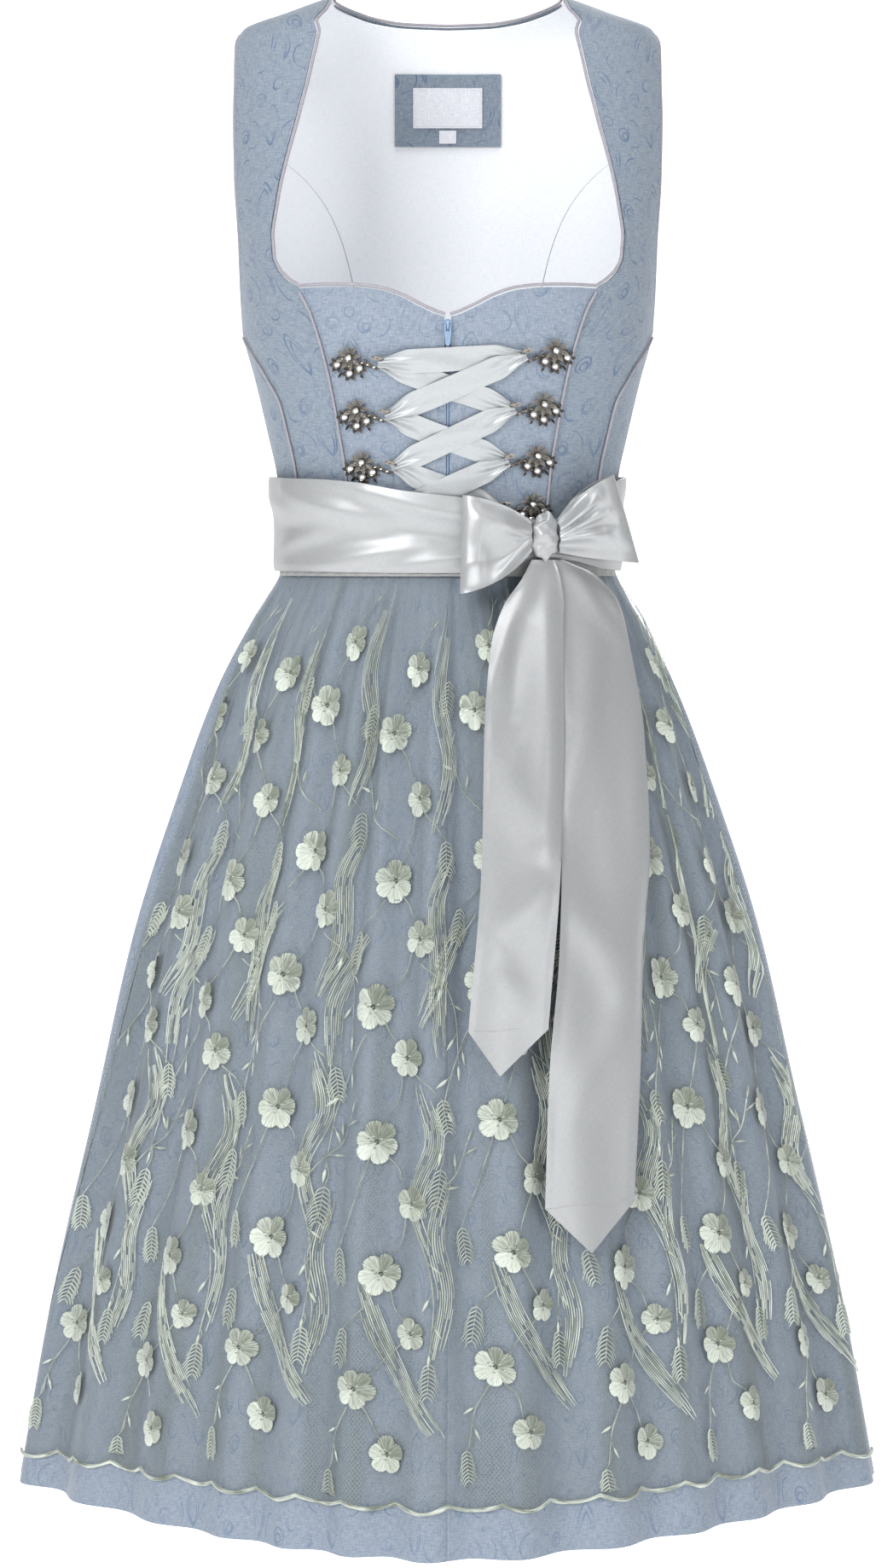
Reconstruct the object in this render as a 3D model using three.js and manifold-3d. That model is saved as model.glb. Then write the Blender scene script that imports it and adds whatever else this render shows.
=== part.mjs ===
// A sleeveless midi dirndl with a laced bodice, a gathered skirt, a net apron and a satin sash tied in a bow.
// Millimetres, +Z up, front towards -Y. The origin is midway between the shoulder straps, on the shoulder line.
// Left and right are as seen from the front, so "left" pieces have negative x.
import * as THREE from "three";
import { mergeVertices } from "three/addons/utils/BufferGeometryUtils.js";
import Module from "manifold-3d";

// Driving dimensions of the garment, a women's size with a 84 cm bust and a 68 cm waist.
const WAIST_Z = -404;
const NECK_POINT_X = 82;
const SHOULDER_TIP_Z = -24;
const HEM_Z = -1057;
const APRON_HEM_Z = -1026;

// Cloth walls and the gaps between pieces.
const CLOTH = 1.3;
const LINING = 1;
const NET = 1;
const SATIN = 1.1;
const SEAM = 0.3; // each piece stays this far from its seam line
const LINING_AIR = 2.2; // between the outer cloth and the lining

// Distances from the bodice cloth to the outer face of each layer, at the front and at the sides and back.
const BAND_OUT = { front: 6.2, side: 3.9 };
const SASH_OUT = { front: 8.3, side: 5.5 };

// Gathers and folds. Each gather or scallop takes four columns of points.
const SKIRT_GATHERS = 32;
const SKIRT_FOLDS = 27;
const APRON_GATHERS = 22;

const SIDES = [
  { name: "left", sign: -1 },
  { name: "right", sign: 1 },
];

const degrees = (radians) => THREE.MathUtils.radToDeg(radians);
const radians = (angle) => THREE.MathUtils.degToRad(angle);
const lerp = THREE.MathUtils.lerp;
const steps = (count) => Array.from({ length: count + 1 }, (_, i) => i / count);

// A smooth curve through a table's column that never overshoots its rows.
function track(rows, key, along = "z") {
  const t = [...rows].sort((p, q) => p[along] - q[along]);
  const last = t.length - 1;
  const rise = t.slice(0, last).map((r, i) => (t[i + 1][key] - r[key]) / (t[i + 1][along] - r[along]));
  const slope = t.map((_, i) => {
    if (i === 0) return rise[0];
    if (i === last) return rise[last - 1];
    return rise[i - 1] * rise[i] <= 0 ? 0 : (2 * rise[i - 1] * rise[i]) / (rise[i - 1] + rise[i]);
  });
  return (at) => {
    if (at <= t[0][along]) return t[0][key] + slope[0] * (at - t[0][along]);
    if (at >= t[last][along]) return t[last][key] + slope[last] * (at - t[last][along]);
    const i = t.findIndex((r) => r[along] > at) - 1;
    const gap = t[i + 1][along] - t[i][along];
    const u = (at - t[i][along]) / gap;
    return (
      (1 + 2 * u) * (1 - u) ** 2 * t[i][key] +
      u * (1 - u) ** 2 * gap * slope[i] +
      u * u * (3 - 2 * u) * t[i + 1][key] +
      u * u * (u - 1) * gap * slope[i + 1]
    );
  };
}

// Bodice sections: half width at the sides, depth of the front and back from y = 0, and the roundness,
// where 2 is an ellipse and more is squarer. The top rows follow the shoulder line.
const BODICE_SECTIONS = [
  { z: 2, half: 77, front: 40, back: 46, round: 2.4 },
  { z: 0, half: NECK_POINT_X, front: 45, back: 52, round: 2.4 },
  { z: -4, half: 92.5, front: 50, back: 60, round: 2.4 },
  { z: -12, half: 114, front: 57, back: 69, round: 2.4 },
  { z: SHOULDER_TIP_Z, half: 145, front: 66, back: 76, round: 2.4 },
  { z: -36, half: 151.5, front: 74, back: 81, round: 2.4 },
  { z: -58, half: 155, front: 86, back: 87, round: 2.4 },
  { z: -90, half: 157, front: 101, back: 93, round: 2.45 },
  { z: -130, half: 156, front: 114, back: 97, round: 2.5 },
  { z: -176, half: 151, front: 123, back: 98, round: 2.5 },
  { z: -215, half: 147.5, front: 128, back: 97, round: 2.5 },
  { z: -240, half: 144.8, front: 127, back: 96, round: 2.45 },
  { z: -268, half: 137.5, front: 120, back: 94, round: 2.4 },
  { z: -304, half: 129, front: 107, back: 90, round: 2.3 },
  { z: -340, half: 121.5, front: 97, back: 86, round: 2.2 },
  { z: -385, half: 117.5, front: 90.5, back: 83.5, round: 2.15 },
  { z: WAIST_Z, half: 118.2, front: 91.5, back: 84.2, round: 2.15 },
  { z: -425, half: 120, front: 94, back: 86, round: 2.15 },
];
const bodiceHalf = track(BODICE_SECTIONS, "half");
const bodiceFront = track(BODICE_SECTIONS, "front");
const bodiceBack = track(BODICE_SECTIONS, "back");
const bodiceRound = track(BODICE_SECTIONS, "round");

// A point of the bodice's outer face. The angle is 0 at the centre front, 90 at the +X side and 180 at the centre back.
function bodicePoint(angle, z) {
  const power = 2 / bodiceRound(z);
  const across = Math.sin(radians(angle));
  const ahead = Math.cos(radians(angle));
  const depth = ahead > 0 ? bodiceFront(z) : bodiceBack(z);
  return new THREE.Vector3(
    bodiceHalf(z) * Math.sign(across) * Math.abs(across) ** power,
    -depth * Math.sign(ahead) * Math.abs(ahead) ** power,
    z,
  );
}

function bodiceNormal(angle, z) {
  const e = 0.4;
  const round = new THREE.Vector3().subVectors(bodicePoint(angle + e, z), bodicePoint(angle - e, z));
  const rise = new THREE.Vector3().subVectors(bodicePoint(angle, z + e), bodicePoint(angle, z - e));
  return round.cross(rise).normalize();
}

// The angle at which the front or back of the bodice has this x.
function angleAt(x, z, back = false) {
  const share = Math.min(1, Math.abs(x) / bodiceHalf(z)) ** (bodiceRound(z) / 2);
  const front = degrees(Math.asin(share)) * Math.sign(x);
  return back ? 180 - front : front;
}

// The inner points of a wall that has no surface of its own: a thickness behind the outer points.
function behind(rows, thickness) {
  const high = rows.length - 1;
  const wide = rows[0].length - 1;
  const at = (r, c) => rows[Math.max(0, Math.min(high, r))][Math.max(0, Math.min(wide, c))];
  return rows.map((row, r) =>
    row.map((point, c) => {
      const along = new THREE.Vector3().subVectors(at(r, c + 1), at(r, c - 1));
      const up = new THREE.Vector3().subVectors(at(r + 1, c), at(r - 1, c));
      return point.clone().addScaledVector(along.cross(up).normalize(), -thickness);
    }),
  );
}

// A closed wall between rows of outer points and rows of inner points. A loop joins its last column to its first.
function wall(outerRows, innerRows, { loop = false } = {}) {
  const high = outerRows.length;
  const wide = outerRows[0].length;
  const count = high * wide;
  const positions = [...outerRows.flat(), ...innerRows.flat()].flatMap((point) => point.toArray());
  const outer = (r, c) => r * wide + (c % wide);
  const inner = (r, c) => outer(r, c) + count;
  const index = [];
  const quad = (p, q, s, t) => index.push(p, q, s, p, s, t);
  const spans = loop ? wide : wide - 1;
  for (let r = 0; r < high - 1; r++) {
    for (let c = 0; c < spans; c++) {
      quad(outer(r, c), outer(r, c + 1), outer(r + 1, c + 1), outer(r + 1, c));
      quad(inner(r, c), inner(r + 1, c), inner(r + 1, c + 1), inner(r, c + 1));
    }
  }
  for (let c = 0; c < spans; c++) {
    quad(outer(0, c), inner(0, c), inner(0, c + 1), outer(0, c + 1));
    quad(outer(high - 1, c + 1), inner(high - 1, c + 1), inner(high - 1, c), outer(high - 1, c));
  }
  if (!loop) {
    for (let r = 0; r < high - 1; r++) {
      quad(outer(r + 1, 0), inner(r + 1, 0), inner(r, 0), outer(r, 0));
      quad(outer(r, wide - 1), inner(r, wide - 1), inner(r + 1, wide - 1), outer(r + 1, wide - 1));
    }
  }
  const geometry = new THREE.BufferGeometry();
  geometry.setAttribute("position", new THREE.Float32BufferAttribute(positions, 3));
  geometry.setIndex(index);
  return geometry;
}
// A wall whose rows come from a function of their distance off the cloth's surface.
const layer = (rowsAt, out, thickness, options) => wall(rowsAt(out), rowsAt(out - thickness), options);

// Rows of bodice points between two edges given in {angle, z}, moved along the normal by a distance.
function bodiceRows(left, right, columns, out) {
  return left.map((start, r) =>
    steps(columns).map((t) => {
      const angle = lerp(start.angle, right[r].angle, t);
      const z = lerp(start.z, right[r].z, t);
      return bodicePoint(angle, z).addScaledVector(bodiceNormal(angle, z), out);
    }),
  );
}

// An edge point kept a seam's half gap away from the seam line, on the side that "towards" says.
function inset(point, towards) {
  const shift = degrees(SEAM / bodiceHalf(point.z));
  return { angle: point.angle + towards * shift, z: point.z };
}

const LOOKS = {
  jacquard: { color: "#9fb5cb", roughness: 0.85, metalness: 0 },
  lining: { color: "#eceef3", roughness: 0.85, metalness: 0 },
  piping: { color: "#b3b0b6", roughness: 0.6, metalness: 0 },
  net: { color: "#b9c2bc", roughness: 0.7, metalness: 0 },
  satin: { color: "#cfd0d1", roughness: 0.4, metalness: 0 },
  lace: { color: "#dfe3e4", roughness: 0.45, metalness: 0 },
  label: { color: "#e6e6ea", roughness: 0.7, metalness: 0 },
  zip: { color: "#a3c0de", roughness: 0.45, metalness: 0 },
  silver: { color: "#6e675e", roughness: 0.35, metalness: 1 },
};

const dirndl = new THREE.Group();
dirndl.name = "dirndl";

function add(name, geometry, look) {
  const mesh = new THREE.Mesh(geometry, new THREE.MeshStandardMaterial(LOOKS[look]));
  mesh.name = name;
  dirndl.add(mesh);
  return mesh;
}

// The same wall on the other side of the garment: x changes sign, and each row runs the other way.
const mirrored = (rows) => rows.map((row) => row.map((p) => new THREE.Vector3(-p.x, p.y, p.z)).reverse());
const onSide = (rows, sign) => (sign > 0 ? rows : mirrored(rows));

// Seams and edges of the right half. A row with x lies on the front or back, and a row with an angle is near the side.
const PRINCESS_SEAM = [
  { z: WAIST_Z, x: 64 },
  { z: -362, x: 68.2 },
  { z: -322, x: 72.4 },
  { z: -285, x: 78.6 },
  { z: -255, x: 85.2 },
  { z: -229, x: 93.4 },
  { z: -211, x: 102.4 },
].map(({ z, x }) => ({ z, angle: angleAt(x, z) }));

const SIDE_SEAM = [
  { z: WAIST_Z, x: 99.5 },
  { z: -362, x: 102.8 },
  { z: -324, x: 107.6 },
  { z: -292, x: 115 },
  { z: -267, x: 127.4 },
].map(({ z, x }) => ({ z, angle: angleAt(x, z) }));
SIDE_SEAM.push({ z: -236, angle: 82 });

// Neckline beside the strap, from the princess seam to the neck point on the shoulder.
const STRAP_NECK = [
  { z: -205, x: 111 },
  { z: -198, x: 117.4 },
  { z: -188, x: 121.6 },
  { z: -175, x: 122.6 },
  { z: -150, x: 119.2 },
  { z: -120, x: 112.6 },
  { z: -89, x: 104.3 },
  { z: -60, x: 97.3 },
  { z: -33, x: 91.6 },
  { z: -13, x: 87 },
  { z: -3.5, x: 83.6 },
].map(({ z, x }) => ({ z, angle: angleAt(x, z) }));
STRAP_NECK.push({ z: 0, angle: 90 });

// Front of the armhole, from the side seam to the shoulder tip, one row for each row of the neckline.
const ARMHOLE_FRONT = [
  { z: -223, angle: 79.5 },
  { z: -209, angle: 77.5 },
  { z: -196, angle: 75.8 },
  { z: -184, angle: 74.4 },
  { z: -170, angle: 72.8 },
  { z: -146, angle: 70.6 },
  { z: -118, angle: 69.6 },
  { z: -89, angle: 69.8 },
  { z: -64, angle: 71.4 },
  { z: -46, angle: 74.5 },
  { z: -34, angle: 79.5 },
  { z: -28, angle: 84.8 },
  { z: SHOULDER_TIP_Z, angle: 90 },
];

// Bottom and back of the armhole, from the side seam to the back seam.
const ARMHOLE_BACK = [
  { z: -240, angle: 92 },
  { z: -233, angle: 99.5 },
  { z: -212, angle: 105.5 },
  { z: -180, angle: 109 },
  { z: -140, angle: 110.6 },
  { z: -102, angle: 111 },
];

// Curved back seam, from the waist to the armhole.
const BACK_SEAM = [
  { z: WAIST_Z, x: 48 },
  { z: -362, x: 49.4 },
  { z: -324, x: 52 },
  { z: -286, x: 55.6 },
  { z: -250, x: 60.4 },
  { z: -218, x: 66 },
  { z: -192, x: 71.5 },
  { z: -168, x: 78 },
  { z: -146, x: 87.5 },
  { z: -127, x: 101 },
  { z: -111, x: 119 },
].map(({ z, x }) => ({ z, angle: angleAt(x, z, true) }));
BACK_SEAM.push({ z: -95, angle: 114 });

// Top of the centre front, a sweetheart edge from the zip to the princess seam.
const ZIP_HALF = 2.2;
const SWEETHEART = [
  { x: ZIP_HALF, z: -231.5 },
  { x: 8, z: -229.6 },
  { x: 19.2, z: -224.6 },
  { x: 33.4, z: -217.4 },
  { x: 47.7, z: -213 },
  { x: 66, z: -211 },
  { x: 85, z: -210.6 },
  { x: 102.4, z: -211 },
];

// Centre front: columns keep their share of the width from the zip to the princess seam.
function frontCenterRows(out) {
  const seamX = track(
    PRINCESS_SEAM.map(({ z, angle }) => ({ z, x: bodicePoint(angle, z).x })),
    "x",
  );
  const widest = SWEETHEART.at(-1).x;
  return PRINCESS_SEAM.map((seam) =>
    SWEETHEART.map((top) => {
      const share = (top.x - ZIP_HALF) / (widest - ZIP_HALF);
      const z = lerp(WAIST_Z, top.z, (seam.z - WAIST_Z) / (PRINCESS_SEAM.at(-1).z - WAIST_Z));
      const x = lerp(ZIP_HALF, seamX(z), share) - (share === 1 ? SEAM : 0);
      const angle = angleAt(x, z);
      return bodicePoint(angle, z).addScaledVector(bodiceNormal(angle, z), out);
    }),
  );
}

// Side front with its strap, up to the shoulder seam, which keeps this angle clear on each side.
const SHOULDER_SEAM = 0.08;
function frontSideRows(out) {
  const inner = [...PRINCESS_SEAM, ...STRAP_NECK].map((p, i) => (i < PRINCESS_SEAM.length ? inset(p, 1) : p));
  const outer = [...SIDE_SEAM, ...ARMHOLE_FRONT].map((p, i) => (i < SIDE_SEAM.length ? inset(p, -1) : p));
  const last = inner.length - 1;
  inner[last] = { ...inner[last], angle: 90 - SHOULDER_SEAM };
  outer[last] = { ...outer[last], angle: 90 - SHOULDER_SEAM };
  return bodiceRows(inner, outer, 4, out);
}

// Side panel, from the side seam round under the arm to the back seam.
function sideRows(out) {
  const front = SIDE_SEAM.map((p) => inset(p, 1));
  const inner = [...front, ...ARMHOLE_BACK];
  const outer = BACK_SEAM.map((p) => inset(p, -1));
  return bodiceRows(inner, outer, 5, out);
}

// Back, a patch between the back seams and armholes, the waist, the shoulders and the back neckline.
const BACK_OUTER = [
  ...BACK_SEAM,
  { z: -78, angle: 110.6 },
  { z: -58, angle: 107.6 },
  { z: -40, angle: 101 },
  { z: SHOULDER_TIP_Z, angle: 90 },
];
const BACK_CENTER = [WAIST_Z, -364, -326, -288, -252, -218, -188, -160, -134, -110, -89, -72, -57, -44, -30, -13];
const BACK_TOP = [
  { z: SHOULDER_TIP_Z, angle: 90 },
  { z: -12, angle: 90 },
  { z: 0, angle: 90 },
  { z: -2, angle: angleAt(79, -2, true) },
  { z: -5, angle: angleAt(68, -5, true) },
  { z: -9, angle: angleAt(52, -9, true) },
  { z: -12, angle: angleAt(30, -12, true) },
  { z: -13, angle: 180 },
];
function backHalf(out) {
  const last = BACK_CENTER.length - 1;
  const span = BACK_TOP.length - 1;
  return BACK_OUTER.map((edge, r) => {
    const nearTop = (r / last) ** 2.5;
    return BACK_TOP.map((top, c) => {
      const u = c / span;
      const towardsTop = (key, side, center) =>
        lerp(side, center, u) + nearTop * (top[key] - lerp(BACK_TOP[0][key], BACK_TOP[span][key], u));
      let angle = towardsTop("angle", edge.angle, 180);
      const z = towardsTop("z", edge.z, BACK_CENTER[r]);
      if (u === 0 && r < BACK_SEAM.length) angle = inset({ angle, z }, 1).angle;
      if (r === last && c < 3) angle += SHOULDER_SEAM;
      return bodicePoint(angle, z).addScaledVector(bodiceNormal(angle, z), out);
    });
  });
}
function backRows(out) {
  return backHalf(out).map((row) => [...row, ...mirrored([row.slice(0, -1)])[0]]);
}

// The lining follows the cloth with fewer points round the body.
const coarser = (rows) => rows.map((row) => row.filter((_, c) => c % 2 === 0 || c === 1 || c >= row.length - 2));
const LINING_OUT = -CLOTH - LINING_AIR;

for (const { name, sign } of SIDES) {
  add(`bodice_front_center_${name}`, layer((out) => onSide(frontCenterRows(out), sign), 0, CLOTH), "jacquard");
  add(`bodice_front_side_${name}`, layer((out) => onSide(frontSideRows(out), sign), 0, CLOTH), "jacquard");
  add(`bodice_side_${name}`, layer((out) => onSide(sideRows(out), sign), 0, CLOTH), "jacquard");
  add(`lining_side_${name}`, layer((out) => onSide(coarser(sideRows(out)), sign), LINING_OUT, LINING), "lining");
}
add("bodice_back", layer(backRows, 0, CLOTH), "jacquard");
add("lining_back", layer((out) => coarser(backRows(out)), LINING_OUT, LINING), "lining");

// Pieces sewn inside the back: middle height, width, height, and the distance of the outer face behind the cloth.
const LABEL_OUT = LINING_OUT - LINING - 1.4;
const BACK_PATCHES = [
  { node: "label_patch", look: "jacquard", middle: -70, width: 78, height: 52, out: LABEL_OUT, thickness: 1 },
  { node: "label", look: "label", middle: -68, width: 51, height: 29, out: LABEL_OUT - 1.5, thickness: 0.8 },
  { node: "size_tab", look: "label", middle: -89, width: 12.5, height: 9.5, out: LABEL_OUT - 1.5, thickness: 0.8 },
];
for (const { node, look, middle, width, height, out, thickness } of BACK_PATCHES) {
  const spans = Math.ceil(width / 13);
  const rowsAt = (distance) =>
    [-0.5, 0, 0.5].map((v) =>
      steps(spans).map((t) => {
        const z = middle + v * height;
        const angle = angleAt((0.5 - t) * width, z, true);
        return bodicePoint(angle, z).addScaledVector(bodiceNormal(angle, z), distance);
      }),
    );
  add(node, layer(rowsAt, out, thickness), look);
}

// A round cord along a list of points.
function tube(points, radius, stepCount, sides = 5) {
  const outline = new THREE.Shape(
    Array.from({ length: sides }, (_, i) => {
      const turn = (i / sides) * 2 * Math.PI;
      return new THREE.Vector2(radius * Math.cos(turn), radius * Math.sin(turn));
    }),
  );
  return new THREE.ExtrudeGeometry(outline, {
    steps: stepCount,
    bevelEnabled: false,
    extrudePath: new THREE.CatmullRomCurve3(points, false, "centripetal"),
  });
}

// Piping that lies along a bare edge: beyond the edge, level with the middle of the cloth.
const PIPING_RADIUS = 1.1;
const PIPING_REACH = PIPING_RADIUS + 0.95;
function edgeCord(edge, reach) {
  return edge.map(({ angle, z }, i) => {
    const before = edge[Math.max(0, i - 1)];
    const after = edge[Math.min(edge.length - 1, i + 1)];
    const run = new THREE.Vector3().subVectors(bodicePoint(after.angle, after.z), bodicePoint(before.angle, before.z));
    const normal = bodiceNormal(angle, z);
    const beyond = run.cross(normal).normalize();
    return bodicePoint(angle, z).addScaledVector(normal, -CLOTH / 2).addScaledVector(beyond, -reach);
  });
}
// Piping in a seam stands just outside the cloth.
const seamCord = (seam, out) => seam.map(({ angle, z }) => bodicePoint(angle, z).addScaledVector(bodiceNormal(angle, z), out));

const nudge = (from, to, share) => ({ angle: lerp(from.angle, to.angle, share), z: lerp(from.z, to.z, share) });
const flip = (points) => points.map((p) => new THREE.Vector3(-p.x, p.y, p.z));

const neckHalf = edgeCord([
  ...SWEETHEART.slice(0, -1).map(({ x, z }) => ({ z, angle: angleAt(x, z) })),
  PRINCESS_SEAM.at(-1),
  ...STRAP_NECK.slice(0, -1),
  { z: 0, angle: 90 },
  ...BACK_TOP.slice(3),
], PIPING_REACH);
const neckLine = [...neckHalf, ...flip(neckHalf.slice(0, -1)).reverse()];
add("piping_neckline", tube(neckLine, PIPING_RADIUS, 62), "piping");

for (const { name, sign } of SIDES) {
  const armhole = edgeCord([
    { z: -25.4, angle: 90.9 },
    ...BACK_OUTER.slice(BACK_SEAM.length, -1).reverse(),
    ...[...ARMHOLE_BACK].reverse(),
    SIDE_SEAM.at(-1),
    ...ARMHOLE_FRONT.slice(0, -1),
    { z: -25.4, angle: 88.3 },
  ], -PIPING_REACH);
  const side = (points) => (sign > 0 ? points : flip(points));
  add(`piping_armhole_${name}`, tube(side(armhole), PIPING_RADIUS, 34), "piping");
  for (const [seam, start] of [["princess", PRINCESS_SEAM], ["side_seam", SIDE_SEAM]]) {
    const ends = [nudge(start[0], start[1], 0.06), nudge(start.at(-1), start.at(-2), 0.16)];
    const cord = seamCord([ends[0], ...start.slice(1, -1), ends[1]], 1.55);
    add(`piping_${seam}_${name}`, tube(side(cord), 0.9, 9), "piping");
  }
}

// Joining solids needs closed meshes whose vertices are shared.
const wasm = await Module();
wasm.setup();
function solidOf(geometry) {
  const bare = geometry.clone();
  bare.deleteAttribute("normal");
  bare.deleteAttribute("uv");
  const merged = mergeVertices(bare, 1e-4);
  return new wasm.Manifold(
    new wasm.Mesh({
      numProp: 3,
      vertProperties: merged.attributes.position.array,
      triVerts: new Uint32Array(merged.index.array),
    }),
  );
}
function geometryOf(solid) {
  const mesh = solid.getMesh();
  const geometry = new THREE.BufferGeometry();
  geometry.setAttribute("position", new THREE.Float32BufferAttribute(mesh.vertProperties, 3));
  geometry.setIndex(new THREE.BufferAttribute(mesh.triVerts, 1));
  return geometry;
}
const joined = (geometries) => geometryOf(geometries.map(solidOf).reduce((whole, piece) => whole.add(piece)));

const flatShape = (outline, holes = []) => {
  const shape = new THREE.Shape(outline.map(([a, b]) => new THREE.Vector2(a, b)));
  shape.holes = holes.map((hole) => new THREE.Path(hole.map(([a, b]) => new THREE.Vector2(a, b))));
  return shape;
};
// A plate from an outline in x and z that lies between two depths in y.
function plate(outline, near, far, holes = []) {
  const geometry = new THREE.ExtrudeGeometry(flatShape(outline, holes), { depth: far - near, bevelEnabled: false });
  return geometry.rotateX(Math.PI / 2).translate(0, far, 0);
}
// A bar from an outline in y and z, with a width in x, centred.
function sideBar(outline, width, holes = []) {
  const geometry = new THREE.ExtrudeGeometry(flatShape(outline, holes), { depth: width, bevelEnabled: false });
  const turn = new THREE.Matrix4().set(0, 0, 1, -width / 2, 1, 0, 0, 0, 0, 1, 0, 0, 0, 0, 0, 1);
  return geometry.applyMatrix4(turn);
}

// Zip: a coil between the centre fronts, its slider, and a pull that swings on the slider's arch.
const ZIP_TOP_Z = -233;
const ZIP_COIL_RADIUS = 1.35;
const SLIDER = { z: -237.2, height: 8.4, width: 5.4, thickness: 1.5 };
const ARCH = { width: 1.4, reach: 3.1, gap: 1.6, wall: 1.15 };
const PULL = { length: 14.4, width: 4.6, thickness: 0.9, bar: 0.9, slot: 2.6, slotHeight: 3.9 };

const frontY = (z) => -bodiceFront(z);
const coil = steps(8).map((t) => {
  const z = lerp(ZIP_TOP_Z, WAIST_Z + 0.3, t);
  return new THREE.Vector3(0, frontY(z) + 0.8, z);
});
add("zip_coil", tube(coil, ZIP_COIL_RADIUS, 12, 6), "zip");

const sliderFace = frontY(ZIP_TOP_Z) + 0.8 - ZIP_COIL_RADIUS - 0.35 - SLIDER.thickness;
const pivotY = sliderFace - 0.35 - ARCH.gap / 2;
{
  const half = SLIDER.width / 2;
  const low = SLIDER.z - SLIDER.height / 2;
  const high = SLIDER.z + SLIDER.height / 2;
  const outline = [
    [1.2 - half, low],
    [half - 1.2, low],
    [half, low + 3],
    [half, high - 1.5],
    [half - 1.5, high],
    [1.5 - half, high],
    [-half, high - 1.5],
    [-half, low + 3],
  ];
  const atFace = (rows) => rows.map(([y, z]) => [sliderFace + y, SLIDER.z + z]);
  const outer = [[0.4, -3.4], [0.4, 3.4], [-2.2, 2.4], [-ARCH.reach, 1.1], [-ARCH.reach, -1.1], [-2.2, -2.4]];
  const inner = [[-0.35, -1.4], [-1.6, -1.1], [-1.95, 0], [-1.6, 1.1], [-0.35, 1.4]];
  const body = plate(outline, sliderFace, sliderFace + SLIDER.thickness);
  add("zip_slider", joined([body, sideBar(atFace(outer), ARCH.width, [atFace(inner)])]), "zip");

  const top = SLIDER.z + PULL.bar / 2;
  const side = PULL.width / 2;
  const slotTop = SLIDER.z - PULL.bar / 2;
  const slotLow = slotTop - PULL.slotHeight;
  const end = top - PULL.length;
  const neck = slotLow - 0.8;
  const tab = [[-side, top], [-side, neck], [-1.7, end + 1.5], [-1, end], [1, end], [1.7, end + 1.5], [side, neck], [side, top]];
  const slot = PULL.slot / 2;
  const hole = [[-slot, slotTop], [slot, slotTop], [slot, slotLow], [-slot, slotLow]];
  add("zip_pull", plate(tab, pivotY - PULL.thickness / 2, pivotY + PULL.thickness / 2, [hole]), "zip");
}

// A regular outline of points in turn at an outer and an inner radius.
function star(u, w, points, outer, inner = outer) {
  const count = inner === outer ? points : points * 2;
  return Array.from({ length: count }, (_, i) => {
    const turn = (i / count) * 2 * Math.PI + 0.2;
    const r = i % 2 === 0 ? outer : inner;
    return [u + r * Math.cos(turn), w + r * Math.sin(turn)];
  });
}

// Lacing hooks: a cluster of flowers and stones with an arm that reaches over the ribbon towards the centre front.
// Each prism has an outline in u, towards the centre front, and w, upwards, and stands between two heights off the cloth.
const HOOK_PRISMS = [
  { outline: [[-8, 1], [-5, -7], [6, -8.5], [9.5, -2]], from: 1.3, to: 2.2 },
  { outline: star(1.5, 4.6, 8, 8.2, 5), from: 1.7, to: 3 },
  { outline: star(1.5, 4.6, 6, 2.9), from: 2.6, to: 4.3 },
  { outline: star(-6.8, 2.2, 5, 4.4, 2.8), from: 1.5, to: 2.7 },
  { outline: star(-3.4, -6, 6, 3.4), from: 1.7, to: 3.4 },
  { outline: star(4.2, -7, 6, 3.4), from: 1.7, to: 3.4 },
  { outline: [[16, -4.7], [20, -6.4], [27, -3.6], [20, -0.8], [16, -2.5]], from: 4.7, to: 5.8 },
];
const HOOK_ARM = {
  outline: [[5.5, 1.8], [10, 1.8], [12, 4.7], [19, 4.7], [19, 5.8], [10.5, 5.8], [5.5, 3]],
  low: -4.7,
  width: 2.2,
};
const HOOKS = [
  { node: "hook_left_1", x: -64.5, z: -260.5 },
  { node: "hook_left_2", x: -59.8, z: -296 },
  { node: "hook_left_3", x: -56, z: -331.5 },
  { node: "hook_left_4", x: -53, z: -362 },
  { node: "hook_right_1", x: 70.5, z: -255.7 },
  { node: "hook_right_2", x: 63, z: -291.5 },
  { node: "hook_right_3", x: 58.8, z: -327 },
  { node: "hook_right_4", x: 55.5, z: -360.5 },
];
const RIBBON_START = 14;
for (const hook of HOOKS) {
  const inward = -Math.sign(hook.x);
  const prisms = HOOK_PRISMS.map(({ outline, from, to }) => plate(outline.map(([u, w]) => [u * inward, w]), -to, -from));
  const arm = new THREE.ExtrudeGeometry(flatShape(HOOK_ARM.outline.map(([u, d]) => [u * inward, -d])), {
    depth: HOOK_ARM.width,
    bevelEnabled: false,
  }).translate(0, 0, HOOK_ARM.low);
  const geometry = joined([...prisms, arm]);
  const position = geometry.attributes.position;
  for (let i = 0; i < position.count; i++) {
    const [x, z] = [hook.x + position.getX(i), hook.z + position.getZ(i)];
    const angle = angleAt(x, z);
    const onCloth = bodicePoint(angle, z).addScaledVector(bodiceNormal(angle, z), -position.getY(i));
    position.setXYZ(i, onCloth.x, onCloth.y, onCloth.z);
  }
  add(hook.node, geometry, "silver");
}

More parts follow.
